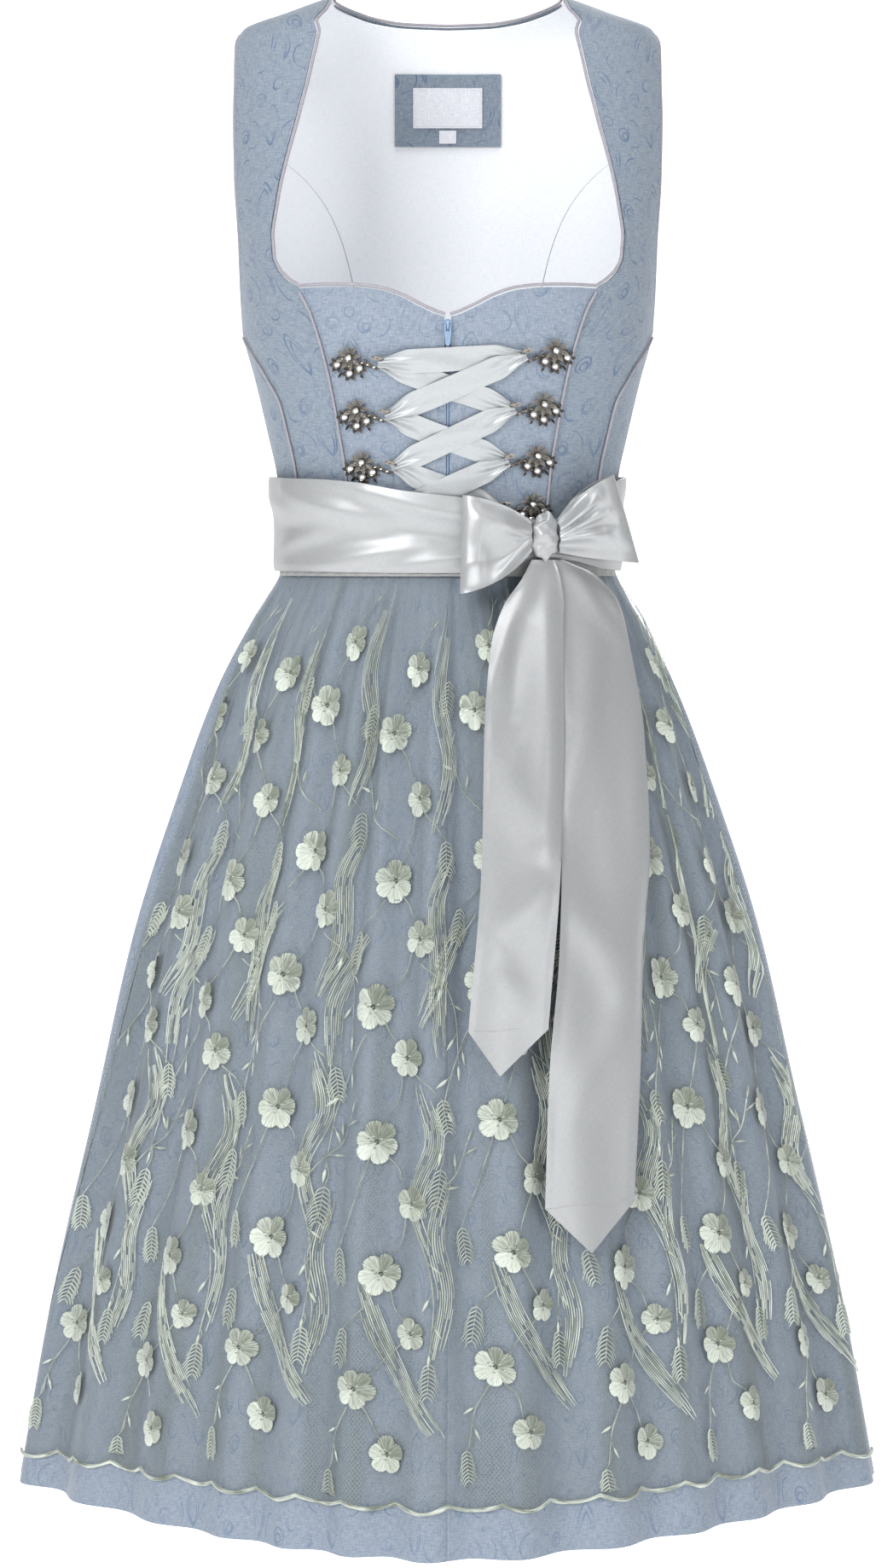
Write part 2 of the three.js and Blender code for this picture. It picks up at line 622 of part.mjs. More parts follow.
// Lace ribbon: each stretch runs between two hooks, flat in the middle and gathered where a hook holds it.
const RIBBON = { width: 16, gathered: 9, thickness: 0.8, under: 1.9, over: 3.2, lift: 1 };
const hookEnd = (node) => {
  const hook = HOOKS.find((h) => h.node === node);
  return { x: hook.x - Math.sign(hook.x) * RIBBON_START, z: hook.z - 3.6 };
};
const LACING = [
  { node: "lace_1", from: "hook_left_1", to: "hook_right_1", out: [RIBBON.over, RIBBON.under] },
  { node: "lace_2", from: "hook_left_1", to: "hook_right_2", out: [RIBBON.under, RIBBON.under] },
  { node: "lace_3", from: "hook_left_2", to: "hook_right_1", out: [RIBBON.over, RIBBON.over] },
  { node: "lace_4", from: "hook_left_2", to: "hook_right_3", out: [RIBBON.under, RIBBON.under] },
  { node: "lace_5", from: "hook_left_3", to: "hook_right_2", out: [RIBBON.over, RIBBON.over] },
  { node: "lace_6", from: "hook_left_3", to: "hook_right_4", out: [RIBBON.under, RIBBON.under] },
  { node: "lace_7", from: "hook_left_4", to: "hook_right_3", out: [RIBBON.over, RIBBON.over] },
];
for (const { node, from, to, out } of LACING) {
  const [start, end] = [hookEnd(from), hookEnd(to)];
  const run = new THREE.Vector2(end.x - start.x, end.z - start.z).normalize();
  const rowsAt = (behindFace) =>
    [-1, 0, 1].map((v) =>
      steps(8).map((t) => {
        const open = THREE.MathUtils.smoothstep(Math.min(t, 1 - t), 0, 0.22);
        const half = lerp(RIBBON.gathered, RIBBON.width, open) / 2;
        const x = lerp(start.x, end.x, t) - run.y * v * half;
        const z = lerp(start.z, end.z, t) + run.x * v * half;
        const height = lerp(out[0], out[1], THREE.MathUtils.smoothstep(t, 0.42, 0.56));
        const angle = angleAt(x, z);
        const lifted = height + RIBBON.lift * (1 - open) + behindFace;
        return bodicePoint(angle, z).addScaledVector(bodiceNormal(angle, z), lifted);
      }),
    );
  add(node, layer(rowsAt, 0, RIBBON.thickness), "lace");
}

// Skirt sections. "across" and "deep" are the powers of a superellipse, so the hem comes to a ridge at each side.
const SKIRT_SECTIONS = [
  { z: WAIST_Z, half: 118.2, front: 91.5, back: 84.2, across: 2.15, deep: 2.15 },
  { z: -412, half: 120.4, front: 93.8, back: 86.4, across: 2.12, deep: 2.1 },
  { z: -424, half: 126.2, front: 99.4, back: 91.6, across: 2.08, deep: 2 },
  { z: -442, half: 136.6, front: 110, back: 101, across: 2, deep: 1.85 },
  { z: -490, half: 162, front: 134, back: 124, across: 1.88, deep: 1.6 },
  { z: -566, half: 192, front: 164, back: 152, across: 1.78, deep: 1.4 },
  { z: -665, half: 226, front: 196, back: 182, across: 1.72, deep: 1.28 },
  { z: -785, half: 255.5, front: 222, back: 207, across: 1.7, deep: 1.2 },
  { z: -931, half: 291, front: 246, back: 231, across: 1.68, deep: 1.16 },
  { z: HEM_Z, half: 315, front: 262, back: 246, across: 1.66, deep: 1.14 },
];
const skirtColumn = Object.fromEntries(
  ["half", "front", "back", "across", "deep"].map((key) => [key, track(SKIRT_SECTIONS, key)]),
);

// A quarter of the section at this height, as points with their length along the curve from the front or back centre.
const quarters = new Map();
function quarter(z, side) {
  const key = `${side} ${z}`;
  if (!quarters.has(key)) {
    let length = 0;
    let last = null;
    const points = steps(72).map((t) => {
      const turn = (t * Math.PI) / 2;
      const x = skirtColumn.half(z) * Math.sin(turn) ** (2 / skirtColumn.across(z));
      const depth = skirtColumn[side](z) * Math.cos(turn) ** (2 / skirtColumn.deep(z));
      if (last) length += Math.hypot(x - last.x, depth - last.depth);
      last = { x, depth, length };
      return last;
    });
    quarters.set(key, points);
  }
  return quarters.get(key);
}

// The turn runs like the bodice's angle, but each quarter of the section counts as 90 along its length.
function skirtBase(turn, z) {
  const t = THREE.MathUtils.euclideanModulo(turn + 180, 360) - 180;
  const ahead = Math.abs(t) <= 90;
  const points = quarter(z, ahead ? "front" : "back");
  const share = (ahead ? Math.abs(t) : 180 - Math.abs(t)) / 90;
  const length = Math.min(0.9999999, share) * points.at(-1).length;
  const i = points.findIndex((p) => p.length > length);
  const [p, q] = [points[i - 1], points[i]];
  const u = (length - p.length) / (q.length - p.length);
  return new THREE.Vector3(Math.sign(t || 1) * lerp(p.x, q.x, u), (ahead ? -1 : 1) * lerp(p.depth, q.depth, u), z);
}
function skirtOutward(turn, z) {
  const along = new THREE.Vector3().subVectors(skirtBase(turn + 1.6, z), skirtBase(turn - 1.6, z));
  return new THREE.Vector3(along.y, -along.x, 0).normalize();
}

// How far the soft folds swing in and out, and how far the gathers stand out below the waist.
const FULLNESS = [
  { z: WAIST_Z, fold: 0, gather: 1.2, apron: 0.6, tails: 11 },
  { z: -412, fold: 0.3, gather: 1.6, apron: 1.2, tails: 12 },
  { z: -424, fold: 1.2, gather: 3, apron: 2.8, tails: 12.6 },
  { z: -442, fold: 2.7, gather: 3.4, apron: 4, tails: 14.4 },
  { z: -490, fold: 4.8, gather: 2, apron: 3.4, tails: 14 },
  { z: -566, fold: 6.4, gather: 0.4, apron: 2, tails: 12.4 },
  { z: -640, fold: 6.8, gather: 0, apron: 1.6, tails: 12 },
  { z: -785, fold: 6.8, gather: 0, apron: 1.2, tails: 11.6 },
  { z: HEM_Z, fold: 6.3, gather: 0, apron: 1, tails: 11.6 },
];
const fold = track(FULLNESS, "fold");
const gather = track(FULLNESS, "gather");
const apronGather = track(FULLNESS, "apron");
const tailReach = track(FULLNESS, "tails");

function folds(turn, z) {
  const a = radians(turn);
  const phase = SKIRT_FOLDS * a + 1.2 * Math.sin(3 * a + 0.7) + 0.9 * Math.sin(5 * a + 2);
  return fold(z) * Math.cos(phase) * (0.78 + 0.22 * Math.sin(4 * a + 1));
}
const skirtPoint = (turn, z, out) => skirtBase(turn, z).addScaledVector(skirtOutward(turn, z), out);

const SKIRT_ROWS = [HEM_Z, -880, -720, -590, -500, -450, -424, WAIST_Z - 0.3];
function skirtPanel(start, end, out) {
  const columns = ((end - start) / 360) * SKIRT_GATHERS * 4;
  return SKIRT_ROWS.map((z) => {
    const margin = (90 * SEAM) / quarter(z, "front").at(-1).length;
    return steps(columns).map((t) => {
      const turn = lerp(start + margin, end - margin, t);
      const wave = (1 + Math.cos(SKIRT_GATHERS * radians(turn) + Math.PI / 4)) / 2;
      return skirtPoint(turn, z, folds(turn, z) + gather(z) * wave + out);
    });
  });
}
const SKIRT_PANELS = [
  { node: "skirt_front_left", start: -90, end: 0 },
  { node: "skirt_front_right", start: 0, end: 90 },
  { node: "skirt_back", start: 90, end: 270 },
];
for (const { node, start, end } of SKIRT_PANELS) {
  add(node, layer((out) => skirtPanel(start, end, out), 0, CLOTH), "jacquard");
}

// The share of the front distance that a layer at the waist keeps at this angle.
const fromFront = (angle) => 1 - THREE.MathUtils.smoothstep(Math.abs(angle), 54, 76);
const layerOut = (layer, angle) => lerp(layer.side, layer.front, fromFront(angle));

// Apron: a gathered net panel over the front of the skirt, with a band at its top and a scalloped hem.
const BAND = { top: -377, bottom: -409, edge: 76 };
const APRON_EDGE = { top: 77.5, bottom: 84.5, hemRise: 13 };
const APRON_TOP_Z = BAND.bottom - 0.3;
const SCALLOP_DEPTH = 3.6;

function apronRows(face) {
  return [APRON_HEM_Z, ...SKIRT_ROWS.slice(1, -1), APRON_TOP_Z].map((level, r) =>
    steps(APRON_GATHERS * 4).map((t, column) => {
      const across = lerp(-1, 1, t);
      const scallop = (1 - Math.abs(Math.sin((column * Math.PI) / 4))) * SCALLOP_DEPTH;
      const z = r > 0 ? level : level - APRON_EDGE.hemRise * across ** 4 + scallop;
      const drop = (APRON_TOP_Z - z) / (APRON_TOP_Z - APRON_HEM_Z);
      const turn = across * lerp(APRON_EDGE.top, APRON_EDGE.bottom, drop);
      const wave = (1 + Math.cos((column * Math.PI) / 2 + 0.6)) / 2;
      const fromBand = layerOut(BAND_OUT, across * BAND.edge) - gather(z) - NET - 2.5;
      const near = THREE.MathUtils.smoothstep(z, -436, APRON_TOP_Z);
      const gathered = gather(z) + apronGather(z) * wave;
      return skirtPoint(turn, z, folds(turn, z) + gathered + NET + 1.6 + fromBand * near + face);
    }),
  );
}
add("apron", layer(apronRows, 0, NET), "net");

const bandRows = (face) =>
  [BAND.bottom, BAND.top].map((z) =>
    steps(20).map((t) => {
      const angle = lerp(-BAND.edge, BAND.edge, t);
      return bodicePoint(angle, z).addScaledVector(bodiceNormal(angle, z), layerOut(BAND_OUT, angle) + face);
    }),
  );
add("apron_band", layer(bandRows, 0, NET), "net");

// Sash: a soft satin band right round the waist, drawn together where the bow is tied.
const SASH_EDGES = [
  { angle: -180, top: -337, bottom: -405 },
  { angle: -90, top: -338, bottom: -405.5 },
  { angle: -46, top: -339.5, bottom: -406 },
  { angle: -28, top: -342, bottom: -406.5 },
  { angle: -13, top: -347.5, bottom: -406.8 },
  { angle: 4, top: -352.7, bottom: -406.8 },
  { angle: 20, top: -363, bottom: -402 },
  { angle: 30, top: -369, bottom: -396 },
  { angle: 42, top: -364, bottom: -398 },
  { angle: 60, top: -344, bottom: -404 },
  { angle: 90, top: -338, bottom: -405.5 },
  { angle: 180, top: -337, bottom: -405 },
];
const sashTop = track(SASH_EDGES, "top", "angle");
const sashBottom = track(SASH_EDGES, "bottom", "angle");
const sashRows = (face) =>
  steps(3).map((v) =>
    Array.from({ length: 40 }, (_, c) => {
      const angle = -180 + c * 9;
      const z = lerp(sashBottom(angle), sashTop(angle), v);
      const crease = 0.5 + 0.5 * Math.sin(v * 7 + radians(angle) * 4);
      const out = layerOut(SASH_OUT, angle) + crease + face;
      return bodicePoint(angle, z).addScaledVector(bodiceNormal(angle, z), out);
    }),
  );
add("sash", layer(sashRows, 0, SATIN, { loop: true }), "satin");

// Bow: a knot on the sash, two loops that stand out from it and two tails that hang over the apron.
const KNOT = { x: 67, y: -95.6, z: -381, width: 20, depth: 15, height: 31 };
const knot = new THREE.SphereGeometry(0.5, 10, 7).rotateX(Math.PI / 2).scale(KNOT.width, KNOT.depth, KNOT.height);
add("bow_knot", knot.rotateZ(radians(22)).translate(KNOT.x, KNOT.y, KNOT.z), "satin");

// Each loop is a strip folded back on itself. A row of the path has its share of the loop's reach, how far it lies in
// front of the loop's middle, and how far the strip has opened from its gathered end.
const LOOP_PATH = [
  { reach: 0.02, ahead: -1.5, open: 0 },
  { reach: 0.22, ahead: -3.4, open: 0.42 },
  { reach: 0.5, ahead: -4.6, open: 0.78 },
  { reach: 0.8, ahead: -4.4, open: 0.96 },
  { reach: 0.96, ahead: -2.8, open: 1 },
  { reach: 1, ahead: 0.8, open: 1 },
  { reach: 0.95, ahead: 5.4, open: 1 },
  { reach: 0.76, ahead: 9.4, open: 0.95 },
  { reach: 0.48, ahead: 9.6, open: 0.76 },
  { reach: 0.22, ahead: 6.2, open: 0.42 },
  { reach: 0.02, ahead: 2.4, open: 0 },
];
const LOOPS = [
  {
    node: "bow_loop_left",
    start: { x: 58.4, y: -99, top: -371, bottom: -391 },
    topEnd: { x: 10, y: -109, z: -352.5 },
    bottomEnd: { x: 8, y: -113, z: -420 },
  },
  {
    node: "bow_loop_right",
    start: { x: 75.6, y: -92.4, top: -369, bottom: -392 },
    topEnd: { x: 115, y: -79, z: -338 },
    bottomEnd: { x: 133, y: -72, z: -399 },
  },
];
const leanOut = (z) => -13 * THREE.MathUtils.smoothstep(-z, 396, 421);
for (const { node, start, topEnd, bottomEnd } of LOOPS) {
  const toLeft = bottomEnd.x < start.x;
  const path = toLeft ? LOOP_PATH : [...LOOP_PATH].reverse();
  const away = new THREE.Vector2(bottomEnd.x - start.x, bottomEnd.y - start.y).normalize();
  const facing = new THREE.Vector2(away.y, -away.x).multiplyScalar(away.x > 0 ? 1 : -1);
  const rows = steps(4).map((v) =>
    path.map(({ reach, ahead, open }) => {
      const end = { x: lerp(bottomEnd.x, topEnd.x, v), y: lerp(bottomEnd.y, topEnd.y, v) };
      const near = lerp(start.bottom, start.top, v);
      const z = lerp(near, lerp(bottomEnd.z, topEnd.z, v), open * 0.65 + reach * 0.35);
      const puff = ahead * (0.75 + 0.35 * Math.sin(Math.PI * v)) + (1 - reach) * Math.sin(v * 15) * 0.6;
      return new THREE.Vector3(
        lerp(start.x, end.x, reach) + facing.x * puff,
        lerp(start.y, end.y, reach) + facing.y * puff + leanOut(z),
        z,
      );
    }),
  );
  add(node, wall(rows, behind(rows, SATIN)), "satin");
}

// Tails: their left and right edges, seen from the front, down to a slanted point.
const TAILS = [
  {
    node: "bow_tail_left",
    lift: 3.6,
    tip: { x: 34.7, z: -738.5 },
    rows: [
      { z: -397, left: 58, right: 74 },
      { z: -410, left: 51, right: 78 },
      { z: -428, left: 38.6, right: 80.2 },
      { z: -452, left: 30.3, right: 80.2 },
      { z: -508, left: 24.9, right: 80 },
      { z: -594, left: 23, right: 77 },
      { z: -709, left: 13.7, right: 67.3 },
    ],
  },
  {
    node: "bow_tail_right",
    lift: 1.4,
    tip: { x: 96.4, z: -858.4 },
    rows: [
      { z: -397, left: 61, right: 80 },
      { z: -408, left: 66, right: 104 },
      { z: -428, left: 71, right: 120 },
      { z: -452, left: 74, right: 126 },
      { z: -516, left: 77, right: 136.1 },
      { z: -594, left: 77, right: 139.1 },
      { z: -660, left: 75, right: 133.4 },
      { z: -740, left: 68, right: 130.8 },
      { z: -827, left: 64.8, right: 126 },
    ],
  },
];

// The point in front of the skirt and apron at this x and z.
function inFrontOfApron(x, z, out) {
  let [low, high] = [-89, 89];
  for (let i = 0; i < 30; i++) {
    const middle = (low + high) / 2;
    if (skirtPoint(middle, z, out).x < x) low = middle;
    else high = middle;
  }
  return skirtPoint(low, z, out);
}
for (const { node, lift, tip, rows: table } of TAILS) {
  const [left, right] = [track(table, "left"), track(table, "right")];
  const square = table.at(-1).z;
  const heights = steps(11).map((t) => lerp(square, table[0].z, t ** 1.25));
  const peak = (tip.x - left(square)) / (right(square) - left(square));
  const rowsAt = (face) =>
    [0, 0.5, ...heights].map((start, r) =>
      steps(4).map((t) => {
        const slope = Math.min(t / peak, (1 - t) / (1 - peak));
        const z = r < 2 ? lerp(lerp(square, tip.z, slope), square, start) - 1 + start : start;
        const x = lerp(left(Math.max(z, square)), right(Math.max(z, square)), t);
        const wave = 1 + Math.sin(x / 7.5 + z / 80);
        return inFrontOfApron(x, z, tailReach(z) + lift + wave * 0.8 + face);
      }),
    );
  add(node, layer(rowsAt, 0, SATIN), "satin");
}

export default dirndl;
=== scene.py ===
# %% [markdown]
# # A dirndl with a lace-up bodice, a net apron and a satin bow
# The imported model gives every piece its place. It is loaded first, and each cloth piece is then made
# again on the same surface, finer than a rigid solid can be, with its seams, gathers, stitches and weave.

# %% Load the frame
import bpy
import math
import numpy as np
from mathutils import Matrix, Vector


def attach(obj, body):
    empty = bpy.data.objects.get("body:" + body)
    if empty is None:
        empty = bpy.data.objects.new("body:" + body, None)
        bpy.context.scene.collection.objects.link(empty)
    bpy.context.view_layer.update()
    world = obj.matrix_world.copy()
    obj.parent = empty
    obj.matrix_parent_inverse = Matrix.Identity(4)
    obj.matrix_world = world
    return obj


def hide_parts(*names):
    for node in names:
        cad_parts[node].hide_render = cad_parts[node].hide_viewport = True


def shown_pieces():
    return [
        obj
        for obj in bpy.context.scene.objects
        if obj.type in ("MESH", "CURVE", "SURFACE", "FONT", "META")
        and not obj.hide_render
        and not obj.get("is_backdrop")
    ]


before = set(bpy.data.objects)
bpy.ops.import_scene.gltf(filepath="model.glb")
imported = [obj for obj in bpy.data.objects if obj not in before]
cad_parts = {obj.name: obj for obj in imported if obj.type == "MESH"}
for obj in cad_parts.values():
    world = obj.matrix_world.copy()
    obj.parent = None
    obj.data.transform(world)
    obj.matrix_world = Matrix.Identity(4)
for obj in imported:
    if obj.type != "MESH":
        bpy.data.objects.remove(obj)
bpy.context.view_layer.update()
scene = bpy.context.scene

# %% [markdown]
# ## Camera, floor and light
# The photograph was taken from about three metres, at the height of the waist and tilted a little down. A
# pale floor runs up into a wall, and large soft lamps leave broad highlights on satin.

# %% Camera
camera_data = bpy.data.cameras.new("camera")
camera_data.sensor_fit = "VERTICAL"
camera_data.sensor_height = 36
camera_data.lens = 96.2
camera = bpy.data.objects.new("camera", camera_data)
camera.location = (-0.0009, -2.9947, -0.3799)
camera.rotation_euler = (math.radians(90 - 3.4), 0, 0)
scene.collection.objects.link(camera)
scene.camera = camera
print("camera lens", camera_data.lens)


# %% Colours and nodes
def colour(code):
    """A hex colour as the linear values that a socket takes."""
    parts = [int(code[i : i + 2], 16) / 255 for i in (1, 3, 5)]
    return tuple(p / 12.92 if p <= 0.04045 else ((p + 0.055) / 1.055) ** 2.4 for p in parts) + (1,)


def add_node(material, kind, settings=None, **sockets):
    """Adds a node. A socket's value is a number, a colour or the output socket that feeds it."""
    node = material.node_tree.nodes.new(kind)
    for key, value in (settings or {}).items():
        setattr(node, key, value)
    for key, value in sockets.items():
        name = key.replace("_", " ")
        socket = node.inputs[int(key[1:])] if key[0] == "i" and key[1:].isdigit() else node.inputs[name]
        if isinstance(value, bpy.types.NodeSocket):
            material.node_tree.links.new(value, socket)
        else:
            socket.default_value = value
    return node


def new_material(name):
    """An empty material with its output and main shader."""
    material = bpy.data.materials.new(name)
    material.use_nodes = True
    material.node_tree.nodes.clear()
    shader = add_node(material, "ShaderNodeBsdfPrincipled")
    add_node(material, "ShaderNodeOutputMaterial", Surface=shader.outputs[0])
    return material, shader


def feed(material, output, shader, name):
    """Links an output to one of the shader's sockets."""
    material.node_tree.links.new(output, shader.inputs[name])


def settle(shader, **values):
    """Sets constants on the shader's own sockets."""
    for name, value in values.items():
        shader.inputs[name.replace("_", " ")].default_value = value


# %% Floor and backdrop
def grid_faces(rows, columns):
    index = np.arange(rows * columns).reshape(rows, columns)
    return np.stack([index[:-1, :-1], index[:-1, 1:], index[1:, 1:], index[1:, :-1]], -1).reshape(-1, 4)


backdrop_white, shader = new_material("painted_studio_wall")
grain = add_node(backdrop_white, "ShaderNodeTexNoise", Scale=3.0, Detail=2.0)
tone = add_node(backdrop_white, "ShaderNodeMapRange", i0=grain.outputs[0], i3=0.93, i4=0.97)
feed(backdrop_white, tone.outputs[0], shader, "Base Color")
settle(shader, Emission_Color=(1, 1, 1, 1), Emission_Strength=0.7, Roughness=0.9)

# The floor bends up into the wall behind the garment, in metres.
FLOOR_START, BEND_Y, BEND_RADIUS, WALL_TOP, HALF_WIDTH = -8.5, 8.0, 1.3, 8.0, 9
sweep = [(FLOOR_START, -BEND_RADIUS), (BEND_Y, -BEND_RADIUS)]
for t in np.linspace(0.1, math.pi / 2, 12):
    sweep.append((BEND_Y + BEND_RADIUS * math.sin(t), -BEND_RADIUS * math.cos(t)))
sweep.append((BEND_Y + BEND_RADIUS, WALL_TOP))
verts = [(x, y, z) for y, z in sweep for x in (-HALF_WIDTH, HALF_WIDTH)]
mesh = bpy.data.meshes.new("studio_floor")
mesh.from_pydata(verts, [], grid_faces(len(sweep), 2).tolist())
mesh.materials.append(backdrop_white)
floor = bpy.data.objects.new("studio_floor", mesh)
scene.collection.objects.link(floor)
floor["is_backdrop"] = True
print("floor rows", len(sweep))

# %% Lamps
world = bpy.data.worlds.new("studio")
world.use_nodes = True
settle(world.node_tree.nodes["Background"], Color=(0.97, 0.98, 1, 1), Strength=0.32)
scene.world = world
LAMPS = [
    # name, place, aims at, size, power
    ("key_softbox", (-1.5, -2.9, 0.75), (0, 0, -0.5), 1.3, 60),
    ("fill_softbox", (1.9, -2.6, 0.0), (0, 0, -0.6), 1.6, 17),
    ("top_softbox", (0, -0.9, 1.9), (0, 0, -0.4), 1.4, 28),
    ("back_softbox", (0.6, 2.2, 0.9), (0, 0, -0.5), 1.6, 24),
]
for name, place, aim, size, power in LAMPS:
    light = bpy.data.lights.new(name, "AREA")
    light.size = size
    light.energy = power
    lamp = bpy.data.objects.new(name, light)
    lamp.location = place
    lamp.visible_camera = False
    lamp.rotation_euler = (Vector(aim) - Vector(place)).to_track_quat("-Z", "Y").to_euler()
    scene.collection.objects.link(lamp)
scene.view_settings.view_transform = "Standard"
print("lamps", len(LAMPS))

# %% [markdown]
# ## The garment's own surfaces
# A dress is cut from flat pieces, and each of them lies on one of two surfaces: the bodice, a rounded
# body form, and the skirt, whose sections grow from the waist to the hem. Tables give their sizes in
# millimetres, a smooth curve runs through each column, and every cloth piece is later a part of these
# surfaces, moved outwards.


# %% Curves through tables
def rows_of(names, *rows):
    return [dict(zip(names.split(), row)) for row in rows]


def track(rows, key, along="z"):
    """A smooth curve through a column that never overshoots its rows, for arrays of places."""
    rows = sorted(rows, key=lambda row: row[along])
    x = np.array([row[along] for row in rows], float)
    y = np.array([row[key] for row in rows], float)
    rise = np.diff(y) / np.diff(x)
    slope = np.zeros(len(y))
    slope[0], slope[-1] = rise[0], rise[-1]
    for i in range(1, len(y) - 1):
        if rise[i - 1] * rise[i] > 0:
            slope[i] = 2 * rise[i - 1] * rise[i] / (rise[i - 1] + rise[i])

    def at(place):
        place = np.asarray(place, float)
        i = np.clip(np.searchsorted(x, place, side="right") - 1, 0, len(x) - 2)
        gap = x[i + 1] - x[i]
        u = np.clip((place - x[i]) / gap, 0, 1)
        inside = (1 + 2 * u) * (1 - u) ** 2 * y[i] + u * (1 - u) ** 2 * gap * slope[i]
        inside = inside + u * u * (3 - 2 * u) * y[i + 1] + u * u * (u - 1) * gap * slope[i + 1]
        inside = np.where(place < x[0], y[0] + slope[0] * (place - x[0]), inside)
        return np.where(place > x[-1], y[-1] + slope[-1] * (place - x[-1]), inside)

    return at


def through(values, t):
    """A smooth curve through the values of rows 0, 1, 2 and so on, read at t."""
    return track([{"row": i, "value": value} for i, value in enumerate(values)], "value", "row")(t)


def smoothstep(value, low, high):
    t = np.clip((np.asarray(value, float) - low) / (high - low), 0, 1)
    return t * t * (3 - 2 * t)


def lerp(a, b, t):
    return a + (b - a) * t


# %% The bodice surface
WAIST_Z = -404
SHOULDER_TIP_Z = -24
BODICE = rows_of(
    "z half front back round",
    (2, 77, 40, 46, 2.4),
    (0, 82, 45, 52, 2.4),
    (-4, 92.5, 50, 60, 2.4),
    (-12, 114, 57, 69, 2.4),
    (SHOULDER_TIP_Z, 145, 66, 76, 2.4),
    (-36, 151.5, 74, 81, 2.4),
    (-58, 155, 86, 87, 2.4),
    (-90, 157, 101, 93, 2.45),
    (-130, 156, 114, 97, 2.5),
    (-176, 151, 123, 98, 2.5),
    (-215, 147.5, 128, 97, 2.5),
    (-240, 144.8, 127, 96, 2.45),
    (-268, 137.5, 120, 94, 2.4),
    (-304, 129, 107, 90, 2.3),
    (-340, 121.5, 97, 86, 2.2),
    (-385, 117.5, 90.5, 83.5, 2.15),
    (WAIST_Z, 118.2, 91.5, 84.2, 2.15),
    (-425, 120, 94, 86, 2.15),
)
bodice_half, bodice_front = track(BODICE, "half"), track(BODICE, "front")
bodice_back, bodice_round = track(BODICE, "back"), track(BODICE, "round")


def bodice_point(angle, z):
    """A point of the bodice, at an angle of 0 in front, 90 at the +X side and 180 behind."""
    angle, z = np.broadcast_arrays(np.asarray(angle, float), np.asarray(z, float))
    power = 2 / bodice_round(z)
    across, ahead = np.sin(np.radians(angle)), np.cos(np.radians(angle))
    depth = np.where(ahead > 0, bodice_front(z), bodice_back(z))
    x = bodice_half(z) * np.sign(across) * np.abs(across) ** power
    return np.stack([x, -depth * np.sign(ahead) * np.abs(ahead) ** power, z], -1)


def unit(v):
    return v / np.maximum(np.linalg.norm(v, axis=-1, keepdims=True), 1e-12)


def bodice_normal(angle, z):
    round_step = bodice_point(angle + 0.4, z) - bodice_point(angle - 0.4, z)
    rise_step = bodice_point(angle, z + 0.4) - bodice_point(angle, z - 0.4)
    return unit(np.cross(round_step, rise_step))


def angle_at(x, z, back=False):
    share = np.minimum(1, np.abs(x) / bodice_half(z)) ** (bodice_round(z) / 2)
    angle = np.degrees(np.arcsin(share)) * np.sign(x)
    return 180 - angle if back else angle


def on_bodice(angle, z, out):
    return bodice_point(angle, z) + bodice_normal(angle, z) * np.asarray(out, float)[..., None]


def on_front(x, z, out):
    """A point in front of the bodice at this x and z, that far off the cloth."""
    return on_bodice(angle_at(x, z), z, out)


print("bust point", bodice_point(0, -215).round(1))

# %% The skirt surface
HEM_Z = -1057
SKIRT = rows_of(
    "z half front back across deep",
    (WAIST_Z, 118.2, 91.5, 84.2, 2.15, 2.15),
    (-412, 120.4, 93.8, 86.4, 2.12, 2.1),
    (-424, 126.2, 99.4, 91.6, 2.08, 2),
    (-442, 136.6, 110, 101, 2, 1.85),
    (-490, 162, 134, 124, 1.88, 1.6),
    (-566, 192, 164, 152, 1.78, 1.4),
    (-665, 226, 196, 182, 1.72, 1.28),
    (-785, 255.5, 222, 207, 1.7, 1.2),
    (-931, 291, 246, 231, 1.68, 1.16),
    (HEM_Z, 315, 262, 246, 1.66, 1.14),
)
LEVELS = np.linspace(HEM_Z - 8, WAIST_Z + 4, 330)
SHARES = np.linspace(0, 1, 121)


def quarter_sections(side):
    """For each level, the quarter section's points at even shares of its length, and that length."""
    turn = np.linspace(0, math.pi / 2, 220)
    keys = ("half", side, "across", "deep")
    half, depth, across, deep = (track(SKIRT, key)(LEVELS)[:, None] for key in keys)
    x = half * np.sin(turn) ** (2 / across)
    y = depth * np.maximum(np.cos(turn), 0) ** (2 / deep)
    run = np.hypot(np.diff(x, axis=1), np.diff(y, axis=1))
    length = np.concatenate([np.zeros((len(LEVELS), 1)), np.cumsum(run, axis=1)], axis=1)
    even = [[np.interp(SHARES * s[-1], s, c) for s, c in zip(length, column)] for column in (x, y)]
    return np.stack(even, -1), length[:, -1]


FRONT_QUARTER, FRONT_LENGTH = quarter_sections("front")
BACK_QUARTER, BACK_LENGTH = quarter_sections("back")
print("hem length of the skirt, mm:", round(2 * (FRONT_LENGTH[0] + BACK_LENGTH[0])))


